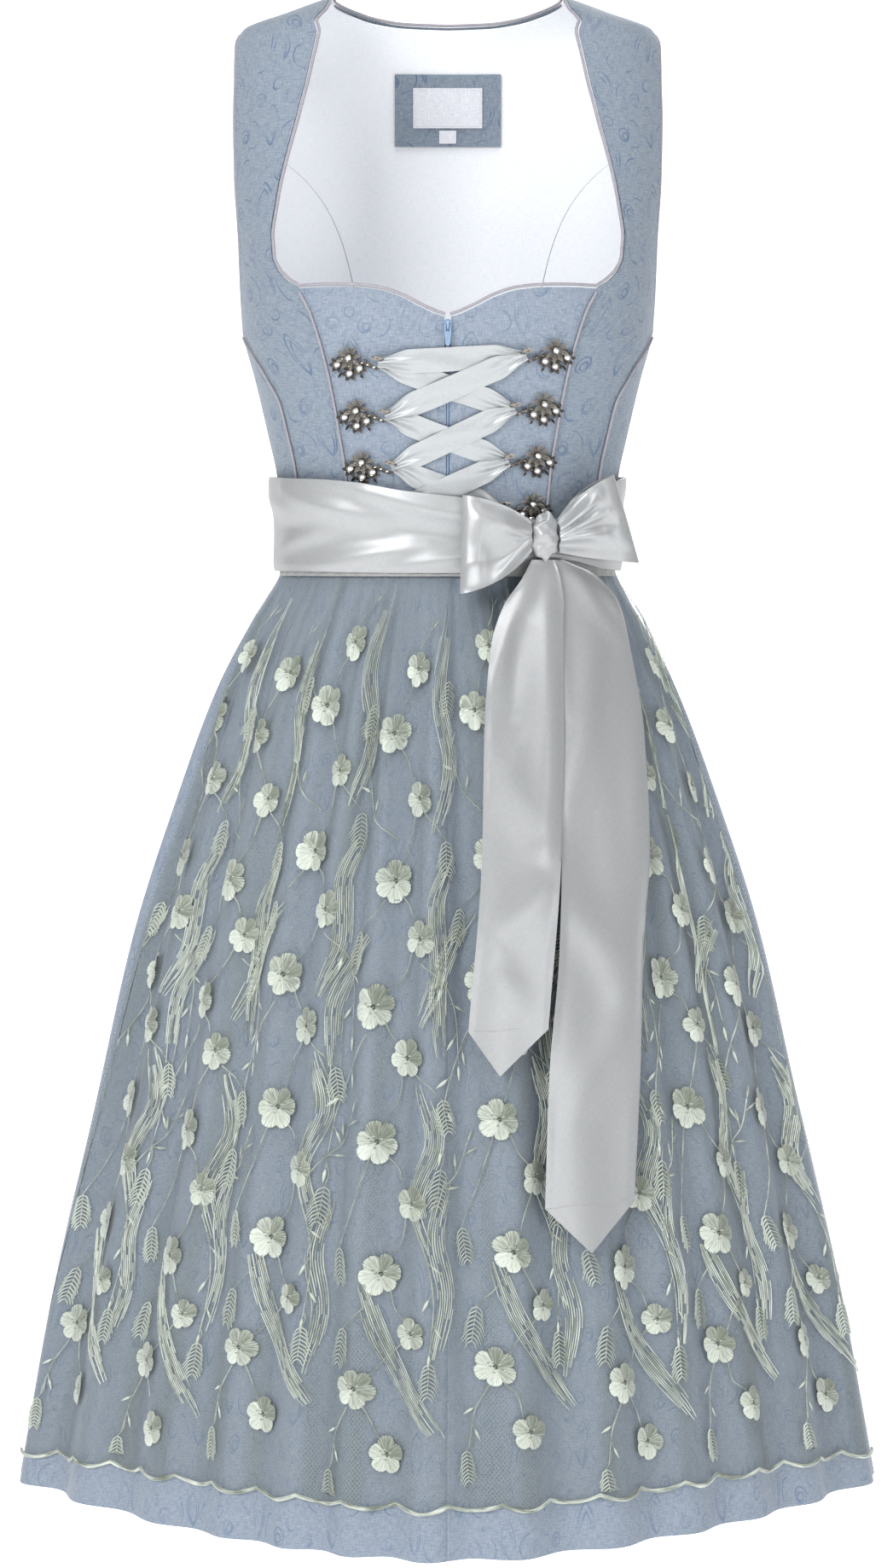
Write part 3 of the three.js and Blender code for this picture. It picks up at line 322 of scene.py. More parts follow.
def skirt_base(turn, z):
    """A point of the plain skirt. A turn of 90 is a quarter of the section by length."""
    turn, z = np.broadcast_arrays(np.asarray(turn, float), np.asarray(z, float))
    t = (turn + 180) % 360 - 180
    ahead = np.abs(t) <= 90
    share = np.where(ahead, np.abs(t), 180 - np.abs(t)) / 90 * (len(SHARES) - 1)
    row = np.clip((z - LEVELS[0]) / (LEVELS[1] - LEVELS[0]), 0, len(LEVELS) - 1.001)
    i, j = row.astype(int), np.minimum(share.astype(int), len(SHARES) - 2)
    u, v = (row - i)[..., None], (share - j)[..., None]

    def mixed(table):
        low = table[i, j] * (1 - v) + table[i, j + 1] * v
        high = table[i + 1, j] * (1 - v) + table[i + 1, j + 1] * v
        return low * (1 - u) + high * u

    point = np.where(ahead[..., None], mixed(FRONT_QUARTER), mixed(BACK_QUARTER))
    side = np.where(t < 0, -1, 1)
    return np.stack([side * point[..., 0], np.where(ahead, -1, 1) * point[..., 1], z], -1)


def skirt_outward(turn, z):
    along = skirt_base(turn + 1.6, z) - skirt_base(turn - 1.6, z)
    return unit(np.stack([along[..., 1], -along[..., 0], np.zeros(along.shape[:-1])], -1))


def on_skirt(turn, z, out):
    return skirt_base(turn, z) + skirt_outward(turn, z) * np.asarray(out, float)[..., None]


def mm_per_turn(z):
    return np.interp(z, LEVELS, FRONT_LENGTH) / 90


# %% Folds and gathers
FULLNESS = rows_of(
    "z fold gather apron tails",
    (WAIST_Z, 0, 1.2, 0.6, 11),
    (-412, 0.3, 1.6, 1.2, 12),
    (-424, 1.2, 3, 2.8, 12.6),
    (-442, 2.7, 3.4, 4, 14.4),
    (-490, 4.8, 2, 3.4, 14),
    (-566, 6.4, 0.4, 2, 12.4),
    (-640, 6.8, 0, 1.6, 12),
    (-785, 6.8, 0, 1.2, 11.6),
    (HEM_Z, 6.3, 0, 1, 11.6),
)
fold_depth, gather_depth = track(FULLNESS, "fold"), track(FULLNESS, "gather")
apron_gather, tail_reach = track(FULLNESS, "apron"), track(FULLNESS, "tails")


def folds(turn, z):
    a = np.radians(turn)
    phase = 27 * a + 1.2 * np.sin(3 * a + 0.7) + 0.9 * np.sin(5 * a + 2)
    return fold_depth(z) * np.cos(phase) * (0.78 + 0.22 * np.sin(4 * a + 1))


# Small gathers at the waist, each with its own place, width, depth and length.
chance = np.random.default_rng(7)
SMALL_GATHERS = []
for turn in np.arange(-180, 180, 3.6):
    place, width = turn + chance.uniform(-1.2, 1.2), chance.uniform(0.75, 1.7)
    SMALL_GATHERS.append((place, width, chance.uniform(0.5, 1.5), chance.uniform(45, 190)))
# Long creases that fall from the waist: turn at the waist, lean to the hem, half width, depth and length.
LONG_CREASES = [
    (-66, -2.0, 2.2, 2.2, 420),
    (-47, 1.0, 1.6, 1.8, 330),
    (-31, -1.5, 2.4, 2.0, 520),
    (-13, 0.8, 1.5, 1.5, 300),
    (9, -0.6, 1.8, 1.8, 450),
    (27, 1.2, 2.4, 2.0, 380),
    (48, 1.6, 1.6, 2.1, 520),
    (69, 2.2, 2.4, 1.6, 340),
    (101, 1.0, 2.2, 2.4, 480),
    (124, -1.2, 1.7, 1.8, 360),
    (147, 0.9, 2.5, 2.2, 540),
    (171, -0.7, 1.6, 1.7, 310),
    (-163, 1.1, 2.2, 2.2, 460),
    (-139, -1.4, 1.8, 1.9, 350),
    (-115, 1.3, 2.4, 2.3, 500),
]


def from_turn(turn, centre):
    return (turn - centre + 180) % 360 - 180


def skirt_relief(turn, z):
    """The cloth's own small relief, on top of the solid's folds and gathers."""
    drop = WAIST_Z - z
    relief = np.zeros(np.broadcast(turn, z).shape)
    for centre, half, depth, length in SMALL_GATHERS:
        spread = half * (1 + drop / 260)
        relief += depth * np.exp(-((from_turn(turn, centre) / spread) ** 2)) * smoothstep(-drop, -length, -4)
    for centre, lean, half, depth, length in LONG_CREASES:
        middle = centre + lean * drop / 300
        fade = smoothstep(-drop, -length, -length * 0.45) * smoothstep(drop, 6, 60)
        relief -= depth * np.exp(-((from_turn(turn, middle) / half) ** 2)) * fade
    return relief * smoothstep(drop, 0, 14)


def skirt_out(turn, z):
    """Distance of the skirt's outer face from the plain skirt."""
    wave = (1 + np.cos(32 * np.radians(turn) + math.pi / 4)) / 2
    return folds(turn, z) + gather_depth(z) * wave * 0.6 + skirt_relief(turn, z)


# %% [markdown]
# ## Walls of cloth
# Cloth has two faces and a thin edge. A piece is a grid of points on its surface, the same grid moved in
# by the cloth's thickness, and a rim that joins them. Its UV map is in metres of cloth, so that weave and
# ornament keep their size and follow the thread.


# %% Make a wall
def make_mesh(name, points, faces, materials, uv=None, crease=None, material_of=None):
    """A mesh object from points in millimetres. With a crease angle it is shaded smooth up to that angle."""
    mesh = bpy.data.meshes.new(name)
    mesh.from_pydata((np.asarray(points) * 0.001).tolist(), [], faces)
    for material in materials:
        mesh.materials.append(material)
    if uv is not None:
        layer = mesh.uv_layers.new(name="cloth")
        layer.data.foreach_set("uv", np.asarray(uv, float).ravel())
    if material_of is not None:
        mesh.polygons.foreach_set("material_index", np.asarray(material_of, np.int32))
    if crease is not None:
        mesh.shade_smooth()
        mesh.set_sharp_from_angle(angle=math.radians(crease))
    piece = bpy.data.objects.new(name, mesh)
    scene.collection.objects.link(piece)
    return piece


def mark(piece, name, values):
    """Keeps a number at each point, for a material to read."""
    piece.data.attributes.new(name, "FLOAT", "POINT").data.foreach_set("value", values)


def run_length(points):
    """The distance along a line of points, counted from its first point."""
    return np.concatenate([[0], np.cumsum(np.linalg.norm(np.diff(points, axis=0), axis=-1))])


def ring_faces(rows, sides):
    """The faces of a closed tube whose rings of points follow each other."""
    index = np.arange(rows * sides).reshape(rows, sides)
    nxt = np.roll(index, -1, axis=1)
    faces = np.stack([index[:-1], nxt[:-1], nxt[1:], index[1:]], -1).reshape(-1, 4).tolist()
    return faces + [index[0][::-1].tolist(), index[-1].tolist()]


def wall(name, outer, inner, uv, materials, loop=False, crease=48):
    """A closed wall between two grids of points. A second material goes to the inner face."""
    rows, columns = outer.shape[:2]
    count = rows * columns
    spans = columns if loop else columns - 1
    r, c = np.meshgrid(np.arange(rows - 1), np.arange(spans), indexing="ij")
    corners = [(r, c), (r, c + 1), (r + 1, c + 1), (r + 1, c)]
    front = np.stack([(i * columns + j % columns) for i, j in corners], -1).reshape(-1, 4)
    front_uv = np.stack([uv[i, j] for i, j in corners], -2).reshape(-1, 4, 2)
    faces, maps = [front, (front + count)[:, ::-1]], [front_uv, front_uv[:, ::-1]]

    def rim(cells):
        i, j = np.array([cell[0] for cell in cells]), np.array([cell[1] for cell in cells])
        line = i * columns + j % columns
        at = uv[i, j]
        faces.append(np.stack([line[1:], line[:-1], line[:-1] + count, line[1:] + count], -1))
        maps.append(np.stack([at[1:], at[:-1], at[:-1], at[1:]], -2))

    rim([(0, j) for j in range(spans + 1)])
    rim([(rows - 1, j) for j in range(spans, -1, -1)])
    if not loop:
        rim([(i, 0) for i in range(rows - 1, -1, -1)])
        rim([(i, columns - 1) for i in range(rows)])
    faces = np.concatenate(faces)
    material_of = np.zeros(len(faces), int)
    if len(materials) > 1:
        material_of[len(front) : 2 * len(front)] = 1
    points = np.concatenate([outer.reshape(-1, 3), inner.reshape(-1, 3)])
    return make_mesh(name, points, faces.tolist(), materials, np.concatenate(maps), crease, material_of)


def grid_normals(points):
    along = np.gradient(points, axis=1)
    up = np.gradient(points, axis=0)
    return unit(np.cross(along, up))


def belongs(piece, node=None):
    """Attaches a piece to the garment and hides the solid that it stands for."""
    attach(piece, "garment")
    if node:
        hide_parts(node)


def cloth_piece(piece, node, flat):
    """Attaches a sheet to the garment and hides its solid. The flat size of its cut in metres is rounded but
    not used.
    """
    belongs(piece, node)
    flat = tuple(max(0.01, round(v, 3)) for v in flat)


# %% [markdown]
# ## Finishes
# Each finish starts from the real material. The dress cloth is a cotton jacquard: two blues of thread
# give a melange ground, and a fine outlined ornament is woven into it tone on tone. The satin floats its
# threads on one face, so it is smooth and takes broad highlights. The net is so fine that mostly the
# cloth below it is seen.


# %% Jacquard
def thread_noise(material, place, along, across, detail=2.0):
    """Noise stretched along a thread: its features are that many millimetres long and wide."""
    scale = (1000 / along, 1000 / across, 1)
    stretched = add_node(material, "ShaderNodeVectorMath", {"operation": "MULTIPLY"}, i0=place, i1=scale)
    noise = add_node(material, "ShaderNodeTexNoise", i0=stretched.outputs[0], Scale=1.0, Detail=detail)
    return noise.outputs[0]


def blend(material, share, low, high):
    """A share of 0 gives the low colour and 1 the high one. A colour is a hex code or an output."""
    low, high = (colour(c) if isinstance(c, str) else c for c in (low, high))
    return add_node(material, "ShaderNodeMix", {"data_type": "RGBA"}, i0=share, i6=low, i7=high).outputs[2]


ORNAMENT_CELL = (41.0, 54.0)
DRIFT = (0.016, 0.016, 0)  # metres by which the ornament wanders, so that no two repeats are alike
# Centre and radius of each arc. A centre beyond the middle line makes a pointed drop of two arcs.
ORNAMENT_ARCS = [
    ((-12.0, -7.0), 18.6),
    ((-12.0, -9.0), 16.2),
    ((12.6, 12.5), 5.0),
    ((13.6, 11.6), 2.6),
    ((20.0, -13.0), 9.5),
    ((0.0, 22.0), 4.0),
]


def ornament(material, place):
    """Distance in millimetres to the lines of a teardrop between two curls, in half-drop repeats."""
    noise = add_node(material, "ShaderNodeTexNoise", i0=place, Scale=22.0, Detail=1.0).outputs["Color"]
    moved = {"operation": "MULTIPLY_ADD"}
    place = add_node(material, "ShaderNodeVectorMath", moved, i0=noise, i1=DRIFT, i2=place).outputs[0]
    width, height = ORNAMENT_CELL

    def math_node(operation, *values):
        sockets = {f"i{n}": value for n, value in enumerate(values)}
        return add_node(material, "ShaderNodeMath", {"operation": operation}, **sockets).outputs[0]

    parts = add_node(material, "ShaderNodeSeparateXYZ", i0=place)
    across = math_node("MULTIPLY", parts.outputs[0], 1000.0)
    up = math_node("MULTIPLY", parts.outputs[1], 1000.0)
    column = math_node("FLOOR", math_node("DIVIDE", across, width))
    drop = math_node("MULTIPLY", math_node("FLOORED_MODULO", column, 2.0), height / 2)
    x = math_node("SUBTRACT", math_node("FLOORED_MODULO", across, width), width / 2)
    y = math_node("SUBTRACT", math_node("FLOORED_MODULO", math_node("ADD", up, drop), height), height / 2)
    spot = add_node(material, "ShaderNodeCombineXYZ", i0=math_node("ABSOLUTE", x), i1=y).outputs[0]
    nearest = None
    for centre, radius in ORNAMENT_ARCS:
        apart = {"operation": "DISTANCE"}
        distance = add_node(material, "ShaderNodeVectorMath", apart, i0=spot, i1=(*centre, 0))
        line = math_node("ABSOLUTE", math_node("SUBTRACT", distance.outputs["Value"], radius))
        nearest = line if nearest is None else math_node("MINIMUM", nearest, line)
    return nearest


def jacquard(name, light, dark, line_code, strength):
    """Two tones of thread, and over them the woven outlines, which fade in places."""
    material, shader = new_material(name)
    place = add_node(material, "ShaderNodeUVMap", {"uv_map": "cloth"}).outputs[0]
    weft = thread_noise(material, place, 6.0, 0.8)
    warp = thread_noise(material, place, 0.8, 5.0)
    threads = add_node(material, "ShaderNodeMath", {"operation": "ADD"}, i0=weft, i1=warp)
    melange = add_node(material, "ShaderNodeMapRange", i0=threads.outputs[0], i1=0.8, i2=1.2)
    ground = blend(material, melange.outputs[0], dark, light)
    drawn = ornament(material, place)
    lines = add_node(material, "ShaderNodeMapRange", i0=drawn, i1=0.3, i2=0.75, i3=strength, i4=0.0)
    patches = add_node(material, "ShaderNodeTexNoise", i0=place, Scale=55.0, Detail=2.0).outputs[0]
    worn = add_node(material, "ShaderNodeMapRange", i0=patches, i1=0.42, i2=0.62)
    times, raised = {"operation": "MULTIPLY"}, {"operation": "MULTIPLY_ADD"}
    broken = add_node(material, "ShaderNodeMath", times, i0=lines.outputs[0], i1=worn.outputs[0])
    feed(material, blend(material, broken.outputs[0], ground, line_code), shader, "Base Color")
    height = add_node(material, "ShaderNodeMath", raised, i0=lines.outputs[0], i1=0.5, i2=threads.outputs[0])
    bump = add_node(material, "ShaderNodeBump", Strength=0.22, Distance=0.0005, Height=height.outputs[0])
    feed(material, bump.outputs[0], shader, "Normal")
    settle(shader, Roughness=0.78, Sheen_Weight=0.25, Sheen_Roughness=0.45)
    return material


dress_cloth = jacquard("cotton_jacquard", "#949eac", "#7b8796", "#5f7390", 0.75)
side_cloth = jacquard("cotton_jacquard_side", "#8d98a4", "#74808e", "#566a88", 1.0)
print("jacquard nodes", len(dress_cloth.node_tree.nodes))


# %% Plain cottons, satins and threads
def woven(name, light, dark, thread, roughness, sheen=0.0, bump_strength=0.2):
    """A plain woven finish: two near colours of thread of a given width in millimetres."""
    material, shader = new_material(name)
    place = add_node(material, "ShaderNodeUVMap", {"uv_map": "cloth"}).outputs[0]
    weft = thread_noise(material, place, thread * 9, thread)
    warp = thread_noise(material, place, thread, thread * 9)
    threads = add_node(material, "ShaderNodeMath", {"operation": "ADD"}, i0=weft, i1=warp)
    share = add_node(material, "ShaderNodeMapRange", i0=threads.outputs[0], i1=0.75, i2=1.25)
    feed(material, blend(material, share.outputs[0], dark, light), shader, "Base Color")
    height = threads.outputs[0]
    bump = add_node(material, "ShaderNodeBump", Strength=bump_strength, Distance=0.0004, Height=height)
    feed(material, bump.outputs[0], shader, "Normal")
    settle(shader, Roughness=roughness, Sheen_Weight=sheen)
    return material, shader


def speckled(name, scale, dark, light, **values):
    """A finish whose colour drifts between two near tones, in specks of 1000 / scale millimetres."""
    material, shader = new_material(name)
    place = add_node(material, "ShaderNodeTexCoord").outputs["Object"]
    specks = add_node(material, "ShaderNodeTexNoise", i0=place, Scale=scale).outputs[0]
    feed(material, blend(material, specks, dark, light), shader, "Base Color")
    settle(shader, **values)
    return material


lining_cotton, _ = woven("cotton_lining", "#fcfdff", "#f1f4fa", 0.7, 0.85, 0.1)
label_tape, _ = woven("woven_label_tape", "#e9e9ee", "#d3d4dc", 0.6, 0.6)
piping_satin, _ = woven("satin_piping", "#a5a2a9", "#8f8c95", 0.5, 0.5, 0.1)
band_satin, _ = woven("satin_band", "#a5a5a4", "#929292", 0.8, 0.5, 0.2, 0.3)
sash_satin, shader = woven("duchesse_satin", "#b1b3b4", "#a7a9ab", 0.5, 0.38, 0.0, 0.05)
settle(shader, Specular_IOR_Level=0.9, Metallic=0.32, Anisotropic=0.4)
ribbon_satin, shader = woven("ribbon_satin", "#b7bbbd", "#adb1b4", 0.5, 0.34, 0.0, 0.05)
settle(shader, Specular_IOR_Level=0.8, Metallic=0.25)
sewing_thread = speckled("polyester_sewing_thread", 1800, "#8d9db3", "#b8c3d2", Roughness=0.5)
pale_thread = speckled("pale_sewing_thread", 1800, "#9c9a9c", "#d0cfd0", Roughness=0.5)
print("plain finishes ready")

# %% Net and embroidery
# The net's real mesh is under a millimetre. Here its cells are 2.2 mm, so that they just show in the render.
net_tulle, shader = new_material("polyester_tulle")
place = add_node(net_tulle, "ShaderNodeUVMap", {"uv_map": "cloth"}).outputs[0]
waves = []
for slant in (40, -40):
    turn = (0, 0, math.radians(slant))
    turned = add_node(net_tulle, "ShaderNodeMapping", i0=place, Rotation=turn, Scale=(450, 450, 450))
    waves.append(add_node(net_tulle, "ShaderNodeTexWave", i0=turned.outputs[0], Scale=0.32).outputs["Fac"])
mesh_lines = add_node(net_tulle, "ShaderNodeMath", {"operation": "MAXIMUM"}, i0=waves[0], i1=waves[1])
doubled = thread_noise(net_tulle, place, 26.0, 420.0, 1.0)
layers = add_node(net_tulle, "ShaderNodeMapRange", i0=doubled, i1=0.5, i2=0.72, i3=0.1, i4=0.25)
drawn = mesh_lines.outputs[0]
net_alpha = add_node(net_tulle, "ShaderNodeMapRange", i0=drawn, i1=0.2, i2=1.0, i3=0.72, i4=1.5)
times = {"operation": "MULTIPLY"}
alpha = add_node(net_tulle, "ShaderNodeMath", times, i0=layers.outputs[0], i1=net_alpha.outputs[0])
feed(net_tulle, alpha.outputs[0], shader, "Alpha")
feed(net_tulle, blend(net_tulle, mesh_lines.outputs[0], "#5f6b73", "#8e9896"), shader, "Base Color")
settle(shader, Roughness=0.6)

# Rayon thread in satin stitch: the same thread is painted pale or olive by "tone", which holds a painted sheen
# set by how each stitch lies to the light, plus random variation.
rayon, shader = new_material("rayon_embroidery")
place = add_node(rayon, "ShaderNodeUVMap", {"uv_map": "cloth"}).outputs[0]
tone = add_node(rayon, "ShaderNodeAttribute", {"attribute_name": "tone"}).outputs["Fac"]
stitch = thread_noise(rayon, place, 12.0, 0.9)
lit = add_node(rayon, "ShaderNodeMath", {"operation": "MULTIPLY_ADD"}, i0=stitch, i1=2.8, i2=-1.4)
clamped = {"operation": "ADD", "use_clamp": True}
share = add_node(rayon, "ShaderNodeMath", clamped, i0=lit.outputs[0], i1=tone)
feed(rayon, blend(rayon, share.outputs[0], "#6a7164", "#d2d9ce"), shader, "Base Color")
bump = add_node(rayon, "ShaderNodeBump", Strength=0.5, Distance=0.0004, Height=stitch)
feed(rayon, bump.outputs[0], shader, "Normal")
settle(shader, Roughness=0.42, Sheen_Weight=0.3)
print("thread materials ready")

# %% Metal, stones and zip
antique_silver, shader = new_material("cast_antique_silver")
depth = add_node(antique_silver, "ShaderNodeAttribute", {"attribute_name": "height"}).outputs["Fac"]
place = add_node(antique_silver, "ShaderNodeTexCoord").outputs["Object"]
spots = add_node(antique_silver, "ShaderNodeTexNoise", i0=place, Scale=900.0).outputs[0]
scaled, added = {"operation": "MULTIPLY_ADD"}, {"operation": "ADD", "use_clamp": True}
worn = add_node(antique_silver, "ShaderNodeMath", scaled, i0=spots, i1=0.5, i2=-0.25)
edge = add_node(antique_silver, "ShaderNodeMath", added, i0=worn.outputs[0], i1=depth)
feed(antique_silver, blend(antique_silver, edge.outputs[0], "#211f1d", "#8f8a84"), shader, "Base Color")
rough = add_node(antique_silver, "ShaderNodeMapRange", i0=edge.outputs[0], i3=0.5, i4=0.26)
feed(antique_silver, rough.outputs[0], shader, "Roughness")
settle(shader, Metallic=1.0)

# The stones are foiled behind, so they shine like a mirror under clear glass.
glass = {"Metallic": 0.75, "Roughness": 0.08, "Coat_Weight": 1.0}
cut_glass = speckled("foiled_cut_glass", 700, "#b9bdc4", "#ffffff", **glass)
zip_nylon = speckled("nylon_zip_coil", 1200, "#667f9f", "#7e96b4", Roughness=0.4)
lacquer = {"Roughness": 0.28, "Coat_Weight": 0.6}
slider_lacquer = speckled("lacquered_zinc_slider", 500, "#7d99b8", "#94adc8", **lacquer)
for name in ("zip_slider", "zip_pull"):
    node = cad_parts[name]
    for number in range(len(node.material_slots)):
        node.material_slots[number].material = slider_lacquer
print("metal and glass ready")

# %% [markdown]
# ## The bodice panels
# The bodice has two centre fronts, two side fronts that run up into the straps, two side panels and a
# back. A panel lies between two seam lines, so it is made as a grid between two edges. Stitching draws
# the cloth in, so the faces get small puckers along the seams and shallow channels beside the zip.

# %% Edges and seams
# Thicknesses in millimetres, the half gap of a seam, and the air between cloth and lining.
CLOTH, LINING, NET, SATIN, RIBBON, SEAM, LINING_AIR = 1.3, 1.0, 1.0, 1.1, 0.7, 0.3, 2.2
ZIP_HALF = 2.2
CLOSED_BY = 1.0  # how much nearer the fronts come to the centre line below the slider


def seam_rows(back, *rows):
    """Rows of z and x, or of z and an angle where the third value says so, as z and angle."""
    return [(row[0], row[1] if len(row) > 2 else float(angle_at(row[1], row[0], back))) for row in rows]


CORNER_X, CORNER_Z = 102.4, -211  # where the princess seam meets the neckline
PRINCESS_X = [(WAIST_Z, 64), (-362, 68.2), (-322, 72.4), (-285, 78.6), (-255, 85.2), (-229, 93.4)]
PRINCESS_X += [(CORNER_Z, CORNER_X)]
PRINCESS_SEAM = seam_rows(False, *PRINCESS_X)
SIDE_SEAM = seam_rows(
    False, (WAIST_Z, 99.5), (-362, 102.8), (-324, 107.6), (-292, 115), (-267, 127.4), (-236, 82, "angle")
)
STRAP_NECK = seam_rows(
    False,
    (-205, 111),
    (-198, 117.4),
    (-188, 121.6),
    (-175, 122.6),
    (-150, 119.2),
    (-120, 112.6),
    (-89, 104.3),
    (-60, 97.3),
    (-33, 91.6),
    (-13, 87),
    (-3.5, 83.6),
    (0, 90, "angle"),
)
ARMHOLE_FRONT = [
    (-223, 79.5),
    (-209, 77.5),
    (-196, 75.8),
    (-184, 74.4),
    (-170, 72.8),
    (-146, 70.6),
    (-118, 69.6),
    (-89, 69.8),
    (-64, 71.4),
    (-46, 74.5),
    (-34, 79.5),
    (-28, 84.8),
    (SHOULDER_TIP_Z, 90),
]
ARMHOLE_BACK = [(-240, 92), (-233, 99.5), (-212, 105.5), (-180, 109), (-140, 110.6), (-102, 111)]
BACK_SEAM = seam_rows(
    True,
    (WAIST_Z, 48),
    (-362, 49.4),
    (-324, 52),
    (-286, 55.6),
    (-250, 60.4),
    (-218, 66),
    (-192, 71.5),
    (-168, 78),
    (-146, 87.5),
    (-127, 101),
    (-111, 119),
    (-95, 114, "angle"),
)
BACK_OUTER = BACK_SEAM + [(-78, 110.6), (-58, 107.6), (-40, 101), (SHOULDER_TIP_Z, 90)]
BACK_CENTER = [WAIST_Z, -364, -326, -288, -252, -218, -188, -160, -134, -110, -89, -72, -57, -44, -30, -13]
BACK_TOP = [(SHOULDER_TIP_Z, 90), (-12, 90), (0, 90)]
for z, x in ((-2, 79), (-5, 68), (-9, 52), (-12, 30)):
    BACK_TOP.append((z, float(angle_at(x, z, True))))
BACK_TOP.append((-13, 180))
SWEETHEART = rows_of(
    "x z",
    (ZIP_HALF, -231.5),
    (8, -229.6),
    (19.2, -224.6),
    (33.4, -217.4),
    (47.7, -213),
    (66, -211),
    (85, -210.6),
    (CORNER_X, CORNER_Z),
)


def along_edge(edge, t):
    """Angle and z at row numbers t of an edge, on smooth curves."""
    z, angle = zip(*edge)
    return through(angle, t), through(z, t)


SHOULDER_GAP = 0.08  # degrees left free on each side of the shoulder seam
TO_THE_END = 99  # a seam row past the last one


def kept_clear(angle, z, towards, share):
    """An edge moved off its seam line by the seam's half gap."""
    return angle + towards * share * np.degrees(SEAM / bodice_half(z))


print("seams", len(PRINCESS_SEAM), len(SIDE_SEAM), len(BACK_SEAM))


# %% Make a bodice panel
def cloth_lengths(points, middle=0.5):
    """Millimetres along each row, counted from its start, and from the column at the middle share."""
    run = np.linalg.norm(np.diff(points, axis=1), axis=-1)
    length = np.concatenate([np.zeros((len(points), 1)), np.cumsum(run, axis=1)], axis=1)
    column = int(round(middle * (points.shape[1] - 1)))
    return length, length - length[:, column : column + 1]


def puckers(distance, z, phase):
    """Short wrinkles across a seam, stronger in some places than in others."""
    wave = np.sin(0.85 * z + 1.7 * np.sin(0.11 * z + phase) + phase)
    strength = 0.55 + 0.45 * np.sin(0.17 * z + 2 * phase)
    return 0.3 * wave * strength * np.exp(-((distance / 5.5) ** 2))


def drag_lines(angle, z):
    """Long shallow drag lines where the bodice narrows to the waist."""
    lines = np.sin(0.13 * z + 0.05 * angle) + 0.6 * np.sin(0.21 * z - 0.09 * angle + 1)
    return 0.42 * lines * smoothstep(-z, 262, 340) * (0.5 + 0.5 * np.sin(np.radians(3 * angle) + 1))


def flip_x(points):
    return points * np.array([-1, 1, 1])


def side_of(points, sign):
    """A grid of points, or its mirror image with the columns the other way round."""
    return points if sign > 0 else flip_x(points[:, ::-1])


def bodice_panel(name, grid, sign, finish, relief, middle=0.5, out=0.0, thickness=CLOTH, slot="jacquard_cloth"):
    """A panel of the bodice on a grid of angles and heights, or its mirror image with a sign of -1."""
    angle, z = grid
    length, placed = cloth_lengths(on_bodice(angle, z, 0), middle)
    lift = relief(length, length[:, -1:] - length, angle, z)
    outer = side_of(on_bodice(angle, z, lift + out), sign)
    inner = side_of(on_bodice(angle, z, 0.4 * lift + out - thickness), sign)
    uv = np.stack([placed, z], -1) * 0.001
    uv = uv if sign > 0 else uv[:, ::-1] * np.array([-1, 1])
    piece = wall(f"{name}_cloth", outer, inner, uv, [finish])
    width, height = length[:, -1].max() / 1000, np.ptp(z) / 1000
    cloth_piece(piece, name, (width, height))


def front_center_grid(rows=96, columns=52):
    v, u = np.linspace(0, 1, rows)[:, None], np.linspace(0, 1, columns)[None, :]
    seam_x = track([{"z": z, "x": x} for z, x in PRINCESS_X], "x")
    row_z = lerp(WAIST_Z, CORNER_Z, v)
    top_z = track(SWEETHEART, "z", "x")(lerp(ZIP_HALF, CORNER_X, u))
    closed = ZIP_HALF - CLOSED_BY * smoothstep(-row_z, 246, 254)
    x = lerp(closed, seam_x(row_z), u) - SEAM * u**12
    z = lerp(WAIST_Z, top_z, v)
    return angle_at(x, z), z


def grid_between(inner, outer, rows, columns, inner_clear, outer_clear):
    """Angles and heights between two edges. A clearance is its direction and the row at which it ends."""
    t = np.linspace(0, len(inner) - 1, rows)
    ends = []
    for edge, (towards, last) in ((inner, inner_clear), (outer, outer_clear)):
        angle, z = along_edge(edge, t)
        angle = kept_clear(angle, z, towards, 1 - smoothstep(t, last - 0.5, last + 0.5))
        ends.append((angle, z))
    u = np.linspace(0, 1, columns)[None, :]
    (a0, z0), (a1, z1) = ends
    return lerp(a0[:, None], a1[:, None], u), lerp(z0[:, None], z1[:, None], u)


def back_grid(rows=104, columns=38):
    """Angles and heights of the whole back, which bends over into the shoulders at its top."""
    t, u = np.linspace(0, len(BACK_OUTER) - 1, rows)[:, None], np.linspace(0, 1, columns)[None, :]
    last, span = len(BACK_OUTER) - 1, len(BACK_TOP) - 1
    side_angle, side_z = along_edge(BACK_OUTER, t)
    center_z = through(BACK_CENTER, t)
    top_angle, top_z = along_edge(BACK_TOP, u * span)
    near_top = (t / last) ** 2.5
    angle = lerp(side_angle, 180, u) + near_top * (top_angle - lerp(BACK_TOP[0][1], BACK_TOP[-1][1], u))
    z = lerp(side_z, center_z, u) + near_top * (top_z - lerp(BACK_TOP[0][0], BACK_TOP[-1][0], u))
    seam = (1 - smoothstep(t, 11, 12)) * (1 - smoothstep(u, 0, 0.02))
    angle = kept_clear(angle, z, 1, seam)
    angle = angle + SHOULDER_GAP * (t == last) * (u * span < 2.01)
    full = np.concatenate([angle, 360 - angle[:, -2::-1]], axis=1)
    return full, np.concatenate([z, z[:, -2::-1]], axis=1)


# %% Front, side and back panels
def center_relief(left, right, angle, z):
    """Channels of stitching beside the zip with a filled roll between them, and the seam's puckers."""
    channels = sum(-depth * np.exp(-(((left - at) / 0.9) ** 2)) for at, depth in ((4.6, 0.45), (11.5, 0.4)))
    beside = 0.28 * np.sin(0.72 * z + 1.3 * np.sin(0.09 * z)) * np.exp(-(((left - 8) / 5.5) ** 2))
    fill = 0.5 * np.exp(-(((left - 8) / 2.6) ** 2))
    return channels + beside + fill + puckers(right, z, 0.4) + drag_lines(angle, z)


